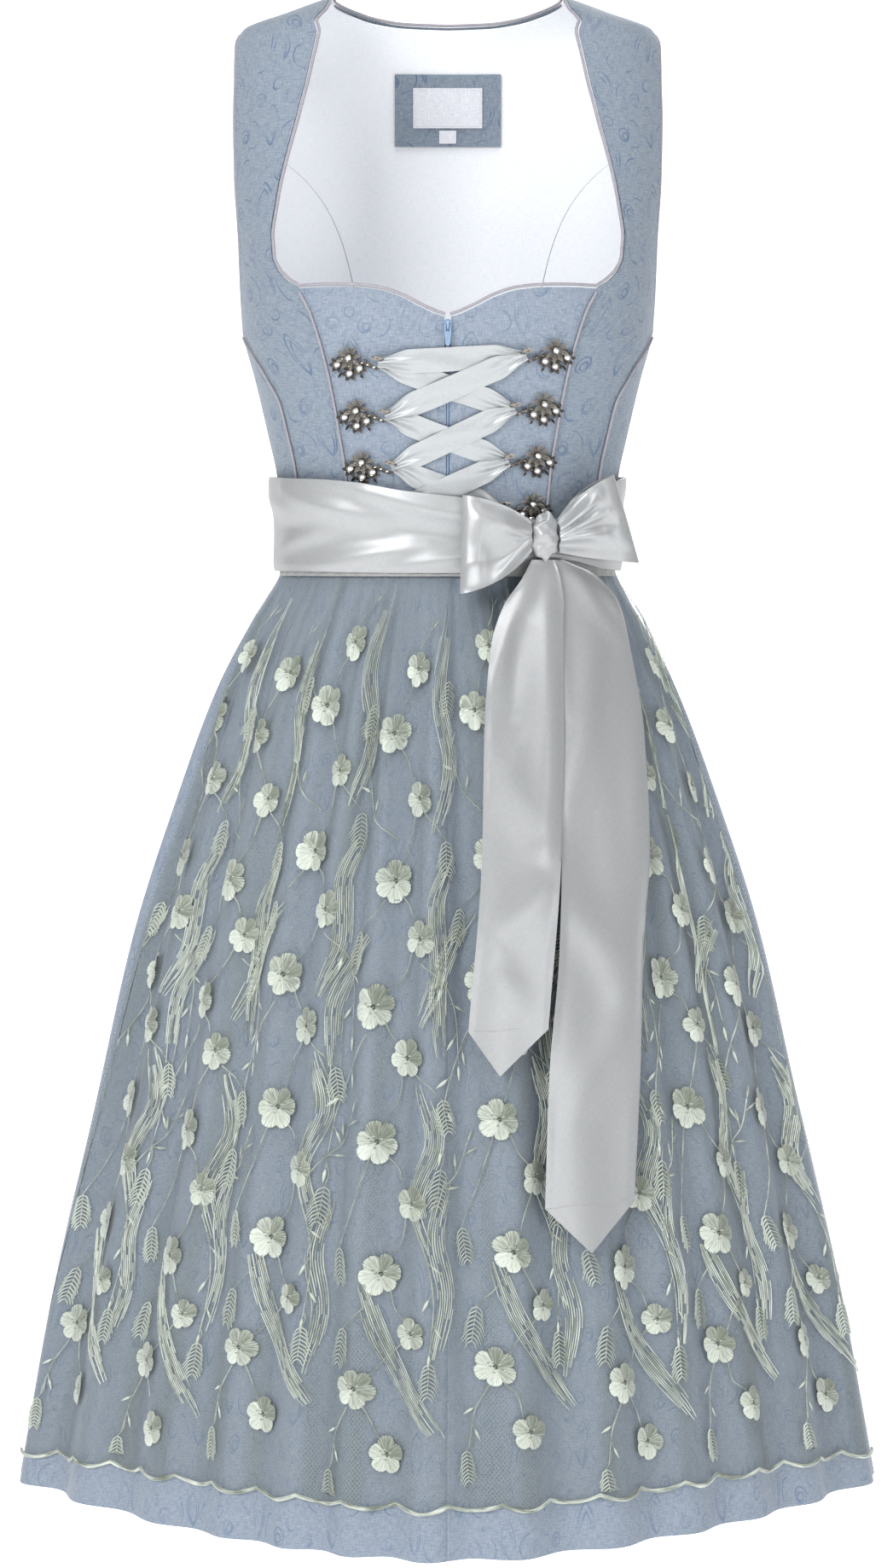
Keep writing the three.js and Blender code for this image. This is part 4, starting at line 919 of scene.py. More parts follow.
def seamed(phase):
    """A relief with puckers along both seams of a panel."""

    def relief(left, right, angle, z):
        return puckers(left, z, phase) + puckers(right, z, phase + 1.3) + drag_lines(angle, z)

    return relief


BODICE_SIDES = (("left", -1), ("right", 1))
for side, sign in BODICE_SIDES:
    grid = front_center_grid()
    bodice_panel(f"bodice_front_center_{side}", grid, sign, dress_cloth, center_relief, middle=0.0)
    grid = grid_between(PRINCESS_SEAM + STRAP_NECK, SIDE_SEAM + ARMHOLE_FRONT, 170, 30, (1, 6), (-1, 5))
    grid[0][-1] = 90 - SHOULDER_GAP
    bodice_panel(f"bodice_front_side_{side}", grid, sign, side_cloth, seamed(0.9))
    grid = grid_between(SIDE_SEAM + ARMHOLE_BACK, BACK_SEAM, 120, 46, (1, 5), (-1, TO_THE_END))
    bodice_panel(f"bodice_side_{side}", grid, sign, side_cloth, seamed(1.7))
bodice_panel("bodice_back", back_grid(), 1, dress_cloth, seamed(2.6))

# %% [markdown]
# The lining shows through the armholes and the neck, so it is a shell of its own, two millimetres behind
# the cloth, with the same curved seams pressed flat.


# %% Lining
def lining_relief(left, right, angle, z):
    pressed = -0.35 * np.exp(-(((left - 2) / 1.2) ** 2)) - 0.35 * np.exp(-(((right - 2) / 1.2) ** 2))
    soft = 0.25 * np.sin(0.05 * z + 0.1 * angle) * np.sin(0.083 * z - 0.06 * angle)
    return pressed + soft


LINING_OUT = -CLOTH - LINING_AIR
lining = {"out": LINING_OUT, "thickness": LINING, "slot": "lining_cloth"}
for side, sign in BODICE_SIDES:
    grid = grid_between(SIDE_SEAM + ARMHOLE_BACK, BACK_SEAM, 80, 30, (1, 5), (-1, TO_THE_END))
    bodice_panel(f"lining_side_{side}", grid, sign, lining_cotton, lining_relief, **lining)
bodice_panel("lining_back", back_grid(76, 28), 1, lining_cotton, lining_relief, **lining)

# %% [markdown]
# Inside the back hangs a patch of the dress cloth with a bare white label and a small bare tab on it. The
# label is stitched down all round.

# %% Label patch, label and tab
LABEL_OUT = LINING_OUT - LINING - 1.4
PATCHES = [
    # node, finish, slot, middle height, width, height, distance behind the cloth, thickness
    ("label_patch", side_cloth, "jacquard_cloth", -70, 78, 52, LABEL_OUT, 1.0),
    ("label", label_tape, "label_tape", -68, 51, 29, LABEL_OUT - 1.5, 0.8),
    ("size_tab", label_tape, "label_tape", -89, 12.5, 9.5, LABEL_OUT - 1.5, 0.8),
]
for node, finish, slot, middle, width, height, out, thickness in PATCHES:
    z = (middle + np.linspace(-0.5, 0.5, 14) * height)[:, None] + np.zeros((1, 24))
    x = (np.linspace(0.5, -0.5, 24) * width)[None, :] + 0 * z
    angle = angle_at(x, z, True)
    bow = 0.25 * np.cos(x / width * math.pi) * np.sin(z / 9)
    outer, inner = on_bodice(angle, z, out), on_bodice(angle, z, out - thickness + bow * 0.4)
    uv = np.stack([-x, z], -1) * 0.001
    piece = wall(f"{node}_tape", outer, inner, uv, [finish])
    cloth_piece(piece, node, (width / 1000, height / 1000))

# %% [markdown]
# ## Piping and topstitching
# A satin cord is caught in the princess and side seams and along the neckline and armholes. Beside it
# runs a row of machine stitches. A cord is a tube along the seam's own points, and a stitch is a tiny
# spindle of thread.


# %% Tubes and stitches
CORD_ROUND = 0.006  # metres of pattern round a cord


def tube(name, points, radius, finish, sides=10, flat=1.0, normals=None):
    """A closed tube along points in millimetres. flat makes its section lower along the normals."""
    points = np.asarray(points, float)
    run = unit(np.gradient(points, axis=0))
    normals = np.tile([0.0, -1.0, 0.05], (len(points), 1)) if normals is None else normals
    side = unit(np.cross(run, normals))
    up = np.cross(side, run)
    turn = np.linspace(0, 2 * math.pi, sides, endpoint=False)
    radius = np.broadcast_to(np.asarray(radius, float), (len(points),))
    ring = side[:, None] * np.cos(turn)[:, None] + up[:, None] * (flat * np.sin(turn))[:, None]
    rings = points[:, None] + ring * radius[:, None, None]
    faces = ring_faces(len(points), sides)
    corner = np.concatenate(faces)
    uv = np.stack([run_length(points)[corner // sides] / 1000, corner % sides / sides * CORD_ROUND], -1)
    return make_mesh(name, rings.reshape(-1, 3), faces, [finish], uv, crease=60)


def stitches(name, lines, material, length=2.0, pitch=3.0, radius=0.3):
    """Rows of spindles of thread. A line is dense points on the cloth, a little off its face."""
    points, faces, first = [], [], 0
    for line in lines:
        line = np.asarray(line, float)
        along = run_length(line)
        starts = np.arange(0.5, along[-1] - length, pitch)
        a = np.stack([np.interp(starts, along, line[:, k]) for k in range(3)], -1)
        b = np.stack([np.interp(starts + length, along, line[:, k]) for k in range(3)], -1)
        run = unit(b - a)
        side = unit(np.cross(run, [0.1, -1, 0.2]))
        up = np.cross(side, run)
        middle = (a + b) / 2
        waist = [middle + away * radius for away in (side, up, -side, -up)]
        points.append(np.stack([a, b] + waist, 1).reshape(-1, 3))
        for start in range(first, first + 6 * len(a), 6):
            for i in range(4):
                p, q = start + 2 + i, start + 2 + (i + 1) % 4
                faces += [(start, q, p), (start + 1, p, q)]
        first += 6 * len(a)
    belongs(make_mesh(name, np.concatenate(points), faces, [material], crease=180))
    print(name, len(faces), "triangles")


# %% Piping on the edges and in the seams
PIPING_RADIUS, SEAM_PIPING_RADIUS = 1.1, 0.9
PIPING_REACH = PIPING_RADIUS + 0.95


def edge_curve(edge, count):
    """A whole edge at an even count of places."""
    return along_edge(edge, np.linspace(0, len(edge) - 1, count))


def edge_cord(angle, z, reach, out=-CLOTH / 2):
    """Points beyond a bare edge, level with the middle of the cloth."""
    points, normal = bodice_point(angle, z), bodice_normal(angle, z)
    beyond = unit(np.cross(np.gradient(points, axis=0), normal))
    return points + normal * out - beyond * reach, normal


sweet_z = track(SWEETHEART, "z", "x")
sweet_x = np.linspace(ZIP_HALF, CORNER_X - 0.9, 60)
strap_angle, strap_z = edge_curve([PRINCESS_SEAM[-1]] + STRAP_NECK, 170)
back_angle, back_z = edge_curve([(0, 90)] + BACK_TOP[3:], 90)
neck_angle = np.concatenate([angle_at(sweet_x, sweet_z(sweet_x)), strap_angle, back_angle[1:]])
neck_z = np.concatenate([sweet_z(sweet_x), strap_z, back_z[1:]])


def both_halves(points):
    return np.concatenate([points, flip_x(points[:-1][::-1])])


def piping(node, points, radius, normals):
    belongs(tube(f"{node}_cord", points, radius, piping_satin, normals=normals), node)


neck_half, neck_normal = edge_cord(neck_angle, neck_z, PIPING_REACH)
piping("piping_neckline", both_halves(neck_half), PIPING_RADIUS, both_halves(neck_normal))

armhole = [(SHOULDER_TIP_Z - 1.4, 90.9)] + BACK_OUTER[len(BACK_SEAM) : -1][::-1] + ARMHOLE_BACK[::-1]
armhole += [SIDE_SEAM[-1]] + ARMHOLE_FRONT[:-1] + [(SHOULDER_TIP_Z - 1.4, 88.3)]
arm_angle, arm_z = edge_curve(armhole, 190)
arm_points, arm_normal = edge_cord(arm_angle, arm_z, -PIPING_REACH)
seam_cords = []
for node, seam in (("princess", PRINCESS_SEAM), ("side_seam", SIDE_SEAM)):
    angle, z = along_edge(seam, np.linspace(0.06, len(seam) - 1.16, 120))
    seam_cords.append((node, on_bodice(angle, z, 1.45), bodice_normal(angle, z)))
for side, sign in BODICE_SIDES:
    across = np.array([sign, 1, 1])
    piping(f"piping_armhole_{side}", arm_points * across, PIPING_RADIUS, arm_normal * across)
    for name, points, normal in seam_cords:
        piping(f"piping_{name}_{side}", points * across, SEAM_PIPING_RADIUS, normal * across)
print("seam cords on each side", len(seam_cords))


# %% Topstitching
def beside_seam(seam, offset):
    """A line that many millimetres beside a seam, just off the cloth."""
    angle, z = along_edge(seam, np.linspace(0.05, len(seam) - 1.3, 160))
    points, normal = bodice_point(angle, z), bodice_normal(angle, z)
    across = unit(np.cross(normal, np.gradient(points, axis=0)))
    return points + normal * 0.45 + across * offset


neck_stitch, _ = edge_cord(neck_angle[4:], neck_z[4:], -2.4, 0.35)
arm_stitch, _ = edge_cord(arm_angle[3:-3], arm_z[3:-3], 2.4, 0.35)
seam_stitches = [beside_seam(PRINCESS_SEAM, 2.6), beside_seam(SIDE_SEAM, -2.6), beside_seam(BACK_SEAM, 1.8)]
channel_z = np.linspace(-400, -236, 140)
channels = [on_front(np.full(140, x), channel_z, 0.0) for x in (6.8, 13.8)]
lines = [neck_stitch, arm_stitch] + seam_stitches + channels
stitches("bodice_topstitching", lines + [flip_x(line) for line in lines], sewing_thread, 1.9, 2.9, 0.26)

# The label is stitched 1.5 mm inside its edge.
LABEL_MIDDLE, STITCHED_WIDTH, STITCHED_HEIGHT = -68, 48, 26
across, up = np.linspace(-0.5, 0.5, 60), np.linspace(-0.5, 0.5, 30)
low, high = np.full(60, -0.5), np.full(60, 0.5)
x = np.concatenate([across, high[:30], across[::-1], low[:30]]) * STITCHED_WIDTH
z = np.concatenate([low, up, high, up[::-1]]) * STITCHED_HEIGHT + LABEL_MIDDLE
label_line = on_bodice(angle_at(x, z, True), z, LABEL_OUT - 2.45)
stitches("label_stitching", [label_line], pale_thread, 1.6, 2.4, 0.2)

# %% [markdown]
# ## The zip
# A nylon zip closes the centre front under the lacing. Its coil is two rows of teeth that hook into each
# other, so one small tooth is modelled and set down left and right in turn. The slider and its pull are
# the solids themselves, lacquered in the colour of the tape.

# %% Coil teeth
TOOTH = (0.0017, 0.0009, 0.00062)  # metres
PITCH = 1.25
bpy.ops.object.select_all(action="DESELECT")
bpy.ops.mesh.primitive_cube_add(size=1, location=(0, 0, 0))
tooth = bpy.context.object
tooth.scale = TOOTH
bpy.ops.object.transform_apply(scale=True)
bevel = tooth.modifiers.new("rounded", "BEVEL")
bevel.width = 0.00025
bevel.segments = 1
bpy.ops.object.modifier_apply(modifier="rounded")
tooth_points = np.array([v.co[:] for v in tooth.data.vertices]) * 1000
tooth_faces = [list(p.vertices) for p in tooth.data.polygons]
bpy.data.objects.remove(tooth)
coil_z = np.arange(WAIST_Z + 1.2, -234.2, PITCH)
points, faces = [], []
for number, z in enumerate(coil_z):
    shift = 0.25 if number % 2 else -0.25
    place = np.array([shift, float(-bodice_front(z)) + 0.3, z])
    faces += [[len(points) + k for k in face] for face in tooth_faces]
    points += (tooth_points + place).tolist()
print("teeth", len(coil_z))

# %% Cord and woven tape behind the teeth
spine_z = np.linspace(WAIST_Z + 0.6, -233.5, 60)
spine = np.stack([0 * spine_z, -bodice_front(spine_z) + 0.8, spine_z], -1)
belongs(tube("zip_cord", spine, 1.0, zip_nylon, sides=8))
behind = np.array([0, 1.3, 0])
belongs(tube("zip_woven_tape", spine + behind, 6.0, zip_nylon, sides=8, flat=0.07))
belongs(make_mesh("zip_teeth", points, faces, [zip_nylon]), "zip_coil")
print("zip length, mm:", round(float(run_length(spine)[-1])))

# %% [markdown]
# ## The lacing hooks
# Each hook is a cast spray of flowers in antique silver with four set stones, and a twisted stem that
# reaches towards the centre and holds the ribbon with its leaf. One hook is modelled flat, in
# millimetres: u runs towards the centre front, w up and d off the cloth. It is then bent onto the bodice
# in eight places.

# %% A petal, a stone and a flower
def taken(piece):
    """Points and faces of a modelled shape, which is then removed."""
    points = np.array([v.co[:] for v in piece.data.vertices])
    faces = [list(p.vertices) for p in piece.data.polygons]
    bpy.data.objects.remove(piece)
    return points, faces


def petal_shape():
    """A pointed petal one long, with a raised rim and a rib in a sunk middle."""
    bpy.ops.object.select_all(action="DESELECT")
    bpy.ops.mesh.primitive_circle_add(vertices=10, radius=0.5, fill_type="NGON", location=(0, 0, 0))
    petal = bpy.context.object
    for vertex in petal.data.vertices:
        x, y = vertex.co.x + 0.5, vertex.co.y
        vertex.co.x = x
        vertex.co.y = 0.62 * y * (1.1 - 0.75 * x**2) if x > 0.5 else 0.5 * y * (0.5 + x)
    bpy.ops.object.mode_set(mode="EDIT")
    bpy.ops.mesh.select_all(action="SELECT")
    bpy.ops.mesh.inset(thickness=0.07)
    bpy.ops.transform.translate(value=(0, 0, -0.1))
    bpy.ops.mesh.poke()
    bpy.ops.mesh.select_all(action="SELECT")
    bpy.ops.mesh.normals_make_consistent(inside=False)
    bpy.ops.object.mode_set(mode="OBJECT")
    solid = petal.modifiers.new("metal", "SOLIDIFY")
    solid.thickness = 0.14
    solid.offset = -1
    bpy.ops.object.modifier_apply(modifier="metal")
    points, faces = taken(petal)
    middle = np.argmin(np.abs(points[:, 0] - 0.5) + np.abs(points[:, 1]) - 0.01 * points[:, 2])
    points[middle, 2] += 0.12
    return points, faces


def stone_shape():
    """A round stone one across: a flat table, a ring of facets and a short girdle."""
    bpy.ops.object.select_all(action="DESELECT")
    bpy.ops.mesh.primitive_cylinder_add(vertices=8, radius=0.5, depth=0.3, location=(0, 0, 0.15))
    stone = bpy.context.object
    bpy.ops.object.mode_set(mode="EDIT")
    bpy.ops.mesh.select_all(action="DESELECT")
    bpy.ops.object.mode_set(mode="OBJECT")
    for face in stone.data.polygons:
        face.select = face.normal.z > 0.9
    bpy.ops.object.mode_set(mode="EDIT")
    bpy.ops.mesh.inset(thickness=0.17)
    bpy.ops.transform.translate(value=(0, 0, 0.16))
    bpy.ops.object.mode_set(mode="OBJECT")
    return taken(stone)


PETAL, STONE = petal_shape(), stone_shape()
print("petal faces", len(PETAL[1]), "stone faces", len(STONE[1]))

# %% One whole hook
hook_parts = []


def set_down(shape, at, size, turn=0.0, tilt=0.0, metal=True):
    """Adds a shape at (u, w, d), scaled, lifted at its tip and turned about d."""
    points, faces = shape
    p = points * np.asarray(size, float)
    p = np.stack([p[:, 0], p[:, 1], p[:, 2] + tilt * p[:, 0]], -1)
    c, s = math.cos(turn), math.sin(turn)
    p = np.stack([c * p[:, 0] - s * p[:, 1], s * p[:, 0] + c * p[:, 1], p[:, 2]], -1) + np.asarray(at, float)
    hook_parts.append((p, faces, metal))


def rod(path, radius, sides=6, twist=0.0, strands=1):
    """One or more strands along a path of (u, w, d), twisted round it."""
    path = np.asarray(path, float)
    t = np.linspace(0, len(path) - 1, 9 * (len(path) - 1) + 1)
    path = np.stack([np.interp(t, np.arange(len(path)), path[:, k]) for k in range(3)], -1)
    for _ in range(3):
        path[1:-1] = 0.25 * path[:-2] + 0.5 * path[1:-1] + 0.25 * path[2:]
    run = unit(np.gradient(path, axis=0))
    side = unit(np.cross(run, [0.02, 0.1, 1]))
    up = np.cross(side, run)
    turn = np.linspace(0, 2 * math.pi, sides, endpoint=False)
    radius = np.broadcast_to(radius, (len(path),))[:, None, None]
    for strand in range(strands):
        angle = twist * np.linspace(0, 1, len(path)) + 2 * math.pi * strand / strands
        off = 0.62 * radius if strands > 1 else 0 * radius
        middle = path[:, None] + off * (side * np.cos(angle)[:, None] + up * np.sin(angle)[:, None])[:, None]
        ring = middle + radius * (side[:, None] * np.cos(turn)[:, None] + up[:, None] * np.sin(turn)[:, None])
        hook_parts.append((ring.reshape(-1, 3), ring_faces(len(path), sides), True))


FLOWERS = [
    # u, w, d, petals, petal length, first turn, stone across
    (-2.6, 2.4, 2.4, 8, 8.6, 0.2, 3.9),
    (-10.4, -2.0, 1.9, 7, 6.0, 0.5, 4.3),
    (-2.1, -8.0, 1.9, 6, 5.8, 0.1, 4.3),
    (4.8, -4.6, 2.1, 6, 5.4, 0.7, 4.3),
]
for u, w, d, petals, length, first, stone in FLOWERS:
    for i in range(petals):
        turn = first + 2 * math.pi * i / petals
        root = (u + 0.14 * length * math.cos(turn), w + 0.14 * length * math.sin(turn), d)
        set_down(PETAL, root, (0.86 * length, length * 6.6 / petals, 2.2), turn, 0.12)
    setting = 0.56 * stone
    round_it = np.linspace(0, 2 * math.pi, 9)
    rod([(u + setting * math.cos(a), w + setting * math.sin(a), d + 1.2) for a in round_it], 0.36, 5)
    set_down(STONE, (u, w, d + 0.5), (stone, stone, 3.6), first, 0, False)
stem_path = [(-7, -4, 1.9), (-1, -3.2, 2.1), (4, -1, 2.2)]
stem_path += [(8.5, -1.6, 2.4), (12.5, -3.4, 3.0), (17, -4.8, 3.8)]
rod(stem_path, 0.8, 5, 16, 2)
rod([(17, -4.6, 3.4), (19.6, -3.4, 2.4), (20.8, -0.4, 2.2), (19.6, 2.4, 4.4), (16.8, 3.4, 5.2)], 1.15, 6)
rod([(-6, -5, 1.8), (-1, -4, 1.9), (1, -1, 1.9)], 0.6)
rod([(3, -7, 1.8), (2, -3, 1.9), (-1, 0, 1.9)], 0.6)
rod([(6, 2.4, 2.4), (8.4, 1.6, 2.6), (9.0, -1.0, 2.6), (7.0, -1.6, 2.4)], 0.45, 5)
rod([(-7.4, 4.0, 2.0), (-9.0, 2.6, 2.2), (-7.4, 1.2, 2.2)], 0.45, 5)
set_down(PETAL, (21.4, 2.6, 5.4), (8.6, 7.0, 2.6), math.pi - 0.05, -0.06)
set_down(PETAL, (6.6, -0.6, 2.1), (7.2, 4.0, 2.2), -0.25, 0.08)
set_down(PETAL, (4.4, -8.2, 1.9), (4.6, 3.4, 2.2), -0.9, 0.08)
set_down(PETAL, (-7.4, -7.4, 1.9), (4.6, 3.4, 2.2), 4.1, 0.08)
hook_points = np.concatenate([part[0] for part in hook_parts])
print("hook parts", len(hook_parts), "points", len(hook_points))

# %% Eight hooks on the bodice
HOOKS = [
    ("hook_left_1", -64.5, -260.5),
    ("hook_left_2", -59.8, -296),
    ("hook_left_3", -56, -331.5),
    ("hook_left_4", -53, -362),
    ("hook_right_1", 70.5, -255.7),
    ("hook_right_2", 63, -291.5),
    ("hook_right_3", 58.8, -327),
    ("hook_right_4", 55.5, -360.5),
]
hook_faces, hook_kinds, base = [], [], 0
for points, faces, metal in hook_parts:
    hook_faces += [[base + k for k in face] for face in faces]
    hook_kinds += [0 if metal else 1] * len(faces)
    base += len(points)
for node, hook_x, hook_z in HOOKS:
    inward = -1 if hook_x > 0 else 1
    x, z = hook_x + hook_points[:, 0] * inward, hook_z + hook_points[:, 1]
    placed = on_front(x, z, hook_points[:, 2])
    faces = [face[::inward] for face in hook_faces]
    finishes = [antique_silver, cut_glass]
    piece = make_mesh(f"{node}_cast", placed, faces, finishes, material_of=hook_kinds)
    mark(piece, "height", np.clip((hook_points[:, 2] - 2.0) / 1.7, 0, 1))
    belongs(piece, node)
print("hooks", len(HOOKS), "triangles each", 2 * len(hook_faces))

# %% [markdown]
# ## The lace ribbon
# One satin ribbon runs from hook to hook and back. It lies flat and 16 mm wide between them, and a hook
# gathers it to a bundle of small folds. Each stretch is a strip on the bodice whose folds die out away
# from its ends.

# %% Ribbon stretches
RIBBON_START = 17.5  # millimetres from a hook's place towards the centre
RIBBON_WIDTH, BUNDLE_WIDTH = 16, 6.5
LACING = [
    # node, first and last hook, distance off the cloth at both
    ("lace_1", "hook_left_1", "hook_right_1", 3.2, 1.9),
    ("lace_2", "hook_left_1", "hook_right_2", 1.9, 1.9),
    ("lace_3", "hook_left_2", "hook_right_1", 3.2, 3.2),
    ("lace_4", "hook_left_2", "hook_right_3", 1.9, 1.9),
    ("lace_5", "hook_left_3", "hook_right_2", 3.2, 3.2),
    ("lace_6", "hook_left_3", "hook_right_4", 1.9, 1.9),
    ("lace_7", "hook_left_4", "hook_right_3", 3.2, 3.2),
]
hook_end = {node: (x - math.copysign(RIBBON_START, x), z - 1.0) for node, x, z in HOOKS}
for number, (node, start, end, first_out, last_out) in enumerate(LACING):
    (x0, z0), (x1, z1) = hook_end[start], hook_end[end]
    length = math.hypot(x1 - x0, z1 - z0)
    dx, dz = (x1 - x0) / length, (z1 - z0) / length
    t, v = np.linspace(0, 1, 72)[None, :], np.linspace(-1, 1, 19)[:, None]
    nearest = np.minimum(t, 1 - t)
    open_ = smoothstep(nearest, 0, 0.22)
    half = lerp(BUNDLE_WIDTH, RIBBON_WIDTH, open_) / 2
    pleat = smoothstep(0.36 - nearest, 0, 0.34)
    folds_in = np.sin(v * 6.5 + 1.4 * np.sin(8 * t + number)) * 1.05 * pleat
    broad = 0.7 * np.sin(v * 2.4 + t * 7 + number) * (1 - 0.7 * pleat)
    sag = -0.9 * np.sin(math.pi * t) * (1 if number % 2 else 0.4)
    x = lerp(x0, x1, t) - dz * v * half
    z = lerp(z0, z1, t) + dx * v * half + sag
    height = lerp(first_out, last_out, smoothstep(t, 0.42, 0.56)) + (1 - open_)
    lift = height + folds_in + broad
    outer, inner = on_front(x, z, lift), on_front(x, z, lift - RIBBON)
    uv = np.stack([t * length + 0 * v, v * RIBBON_WIDTH / 2 + 0 * t], -1) * 0.001
    piece = wall(f"{node}_ribbon", outer, inner, uv, [ribbon_satin], crease=60)
    cloth_piece(piece, node, (RIBBON_WIDTH / 1000, length / 1000))

# %% [markdown]
# ## The skirt
# Two front panels and a back panel are gathered into the waist. The gathers are deep and close at the
# waist and run out into a few soft folds, so the relief is a sum of many small gathers and some long
# creases, each with its own place, width and length.

# %% Skirt panels
SKIRT_PANELS = [
    # node, first and last turn, columns
    ("skirt_front_left", -90, 0, 128),
    ("skirt_front_right", 0, 90, 128),
    ("skirt_back", 90, 270, 222),
]
CLOSED_SEAM = 0.02  # millimetres from the seam line
SKIRT_FULL_WIDTH, SKIRT_LENGTH = 2.3, 0.69  # metres of cloth round the hem and down, before it is gathered
HEM_FOLD_Z = HEM_Z + 32
for node, start, end, columns in SKIRT_PANELS:
    v = np.linspace(0, 1, 108)[:, None]
    z = lerp(HEM_Z, WAIST_Z - 0.3, v**0.8)
    margin = 90 * CLOSED_SEAM / np.interp(z, LEVELS, FRONT_LENGTH)
    t = np.linspace(0, 1, columns)[None, :]
    turn = lerp(start + margin, end - margin, t)
    level = z + 0 * t
    seam_pull = sum(-0.8 * np.exp(-(((turn - edge) * mm_per_turn(z) / 2.2) ** 2)) for edge in (start, end))
    hem_fold = -0.5 * np.exp(-(((level - HEM_FOLD_Z) / 1.6) ** 2))
    lift = skirt_out(turn, level) + (seam_pull + hem_fold) * smoothstep(-level, 410, 450)
    outer, inner = on_skirt(turn, level, lift), on_skirt(turn, level, lift - CLOTH)
    cloth_u = (turn - start) / 360 * SKIRT_FULL_WIDTH
    uv = np.stack([cloth_u, level * 0.001], -1)
    piece = wall(f"{node}_cloth", outer, inner, uv, [dress_cloth], crease=70)
    width = (end - start) / 360 * SKIRT_FULL_WIDTH
    cloth_piece(piece, node, (width, SKIRT_LENGTH))
hem_turn = np.linspace(-179.9, 179.9, 2000)
hem_level = np.full(2000, float(HEM_FOLD_Z))
hem_line = on_skirt(hem_turn, hem_level, skirt_out(hem_turn, hem_level) + 0.1)
stitches("skirt_hem_stitching", [hem_line], sewing_thread, 1.2, 7.0, 0.22)

# %% [markdown]
# ## The net apron
# The apron is a rectangle of net, gathered into a narrow band. It lies over the front of the skirt and
# follows its folds, with longer and sharper folds of its own where the net is doubled. Its lower edge is
# cut in shallow scallops and bound with satin stitch.

# %% The apron's surface
BAND_OUT, SASH_OUT = (6.2, 3.9), (8.3, 5.5)  # off the bodice in front, and at the sides and back
BAND_END = 76  # degrees
APRON_TOP_Z, APRON_HEM_Z = -409.3, -1026
APRON_EDGE_TOP, APRON_EDGE_HEM = 77.5, 84.5  # turns of the net's side edges
APRON_WAVES = 44
NET_FOLDS = [
    # turn at the waist, lean to the hem, half width, height, length
    (-70, -4, 1.3, 3.0, 560),
    (-61, -3, 0.9, 2.4, 300),
    (-52, -3, 1.4, 3.4, 470),
    (-40, -1, 0.9, 2.4, 240),
    (-33, -2, 1.3, 3.0, 600),
    (-22, 0, 0.8, 2.2, 280),
    (-15, -1, 1.2, 2.8, 420),
    (-4, 0, 0.9, 2.6, 560),
    (3, 1, 0.8, 2.0, 260),
    (13, 1, 1.2, 2.8, 380),
    (24, 0, 0.9, 2.4, 520),
    (35, 2, 1.3, 2.8, 300),
    (46, 2, 1.0, 2.6, 470),
    (57, 3, 1.3, 3.2, 590),
    (66, 3, 0.9, 2.6, 330),
    (73, 4, 1.2, 3.0, 480),
]


def apron_drop(z):
    """How far down the apron a height lies: 0 at the band, 1 at the hem."""
    return (APRON_TOP_Z - z) / (APRON_TOP_Z - APRON_HEM_Z)


def apron_edge(drop):
    return lerp(APRON_EDGE_TOP, APRON_EDGE_HEM, drop)


def band_out(layer, angle):
    return lerp(layer[1], layer[0], 1 - smoothstep(np.abs(angle), 54, 76))


def apron_out(turn, z):
    """Distance of the net's outer face from the plain skirt."""
    across = turn / apron_edge(np.clip(apron_drop(z), 0, 1.1))
    wave = (1 + np.cos((across + 1) / 2 * APRON_WAVES * math.pi + 0.6)) / 2
    from_band = band_out(BAND_OUT, across * BAND_END) - gather_depth(z) - NET - 2.5
    near = smoothstep(z, -436, APRON_TOP_Z)
    fall = WAIST_Z - z
    own = np.zeros(np.broadcast(turn, z).shape)
    for centre, lean, half, height, length in NET_FOLDS:
        middle = centre + lean * fall / 600
        shape = np.exp(-((np.abs(turn - middle) / half) ** 1.6))
        own += height * shape * smoothstep(-fall, -length, -length * 0.35) * smoothstep(fall, 8, 50)
    gathered = gather_depth(z) + apron_gather(z) * wave
    creased = np.minimum(0, skirt_relief(turn, z)) * 0.6
    return folds(turn, z) + gathered + NET + 1.6 + from_band * near + own + creased


def on_apron(turn, z, out=0.0):
    return on_skirt(turn, z, apron_out(turn, z) + out)


# %% Net, scalloped edge and band
APRON_CUT, APRON_LENGTH = 0.86, 0.617  # metres of net across and down
SCALLOPS, SCALLOP_DEPTH = 22, 4.6
v, t = np.linspace(0, 1, 104)[:, None], np.linspace(0, 1, SCALLOPS * 12 + 1)[None, :]
across = 2 * t - 1
scallop = (1 - np.abs(np.sin(t * SCALLOPS * math.pi))) * SCALLOP_DEPTH
hem_z = APRON_HEM_Z - 13 * across**4 + scallop
z = lerp(hem_z, APRON_TOP_Z, v**0.85)
turn = across * apron_edge(apron_drop(z))
outer, inner = on_apron(turn, z), on_apron(turn, z, -NET)
uv = np.stack([across * APRON_CUT / 2 + 0 * z, z * 0.001], -1)
apron = wall("apron_net", outer, inner, uv, [net_tulle], crease=75)
cloth_piece(apron, "apron", (APRON_CUT, APRON_LENGTH))

edge_turn, edge_z = turn[0], z[0]
edge_points = on_apron(edge_turn, edge_z + 1.0, -0.4)
edge_normal = skirt_outward(edge_turn, edge_z)
number = np.arange(len(edge_turn))
edge_radius = 1.35 + 0.25 * np.sin(number * 0.9) * np.sin(number * 0.23)
scallops = tube("apron_scallop_edge", edge_points, edge_radius, rayon, flat=0.75, normals=edge_normal)
mark(scallops, "tone", np.repeat(0.42 + 0.3 * np.sin(number * 0.31) * np.sin(number * 0.11 + 1), 10))
belongs(scallops)

side_z = np.linspace(-1030, -414, 160)
side_turn = apron_edge(apron_drop(side_z)) - 0.35
hems = [on_apron(sign * side_turn, side_z, 0.15) for sign in (-1, 1)]
stitches("apron_side_hems", hems, pale_thread, 2.4, 3.2, 0.24)

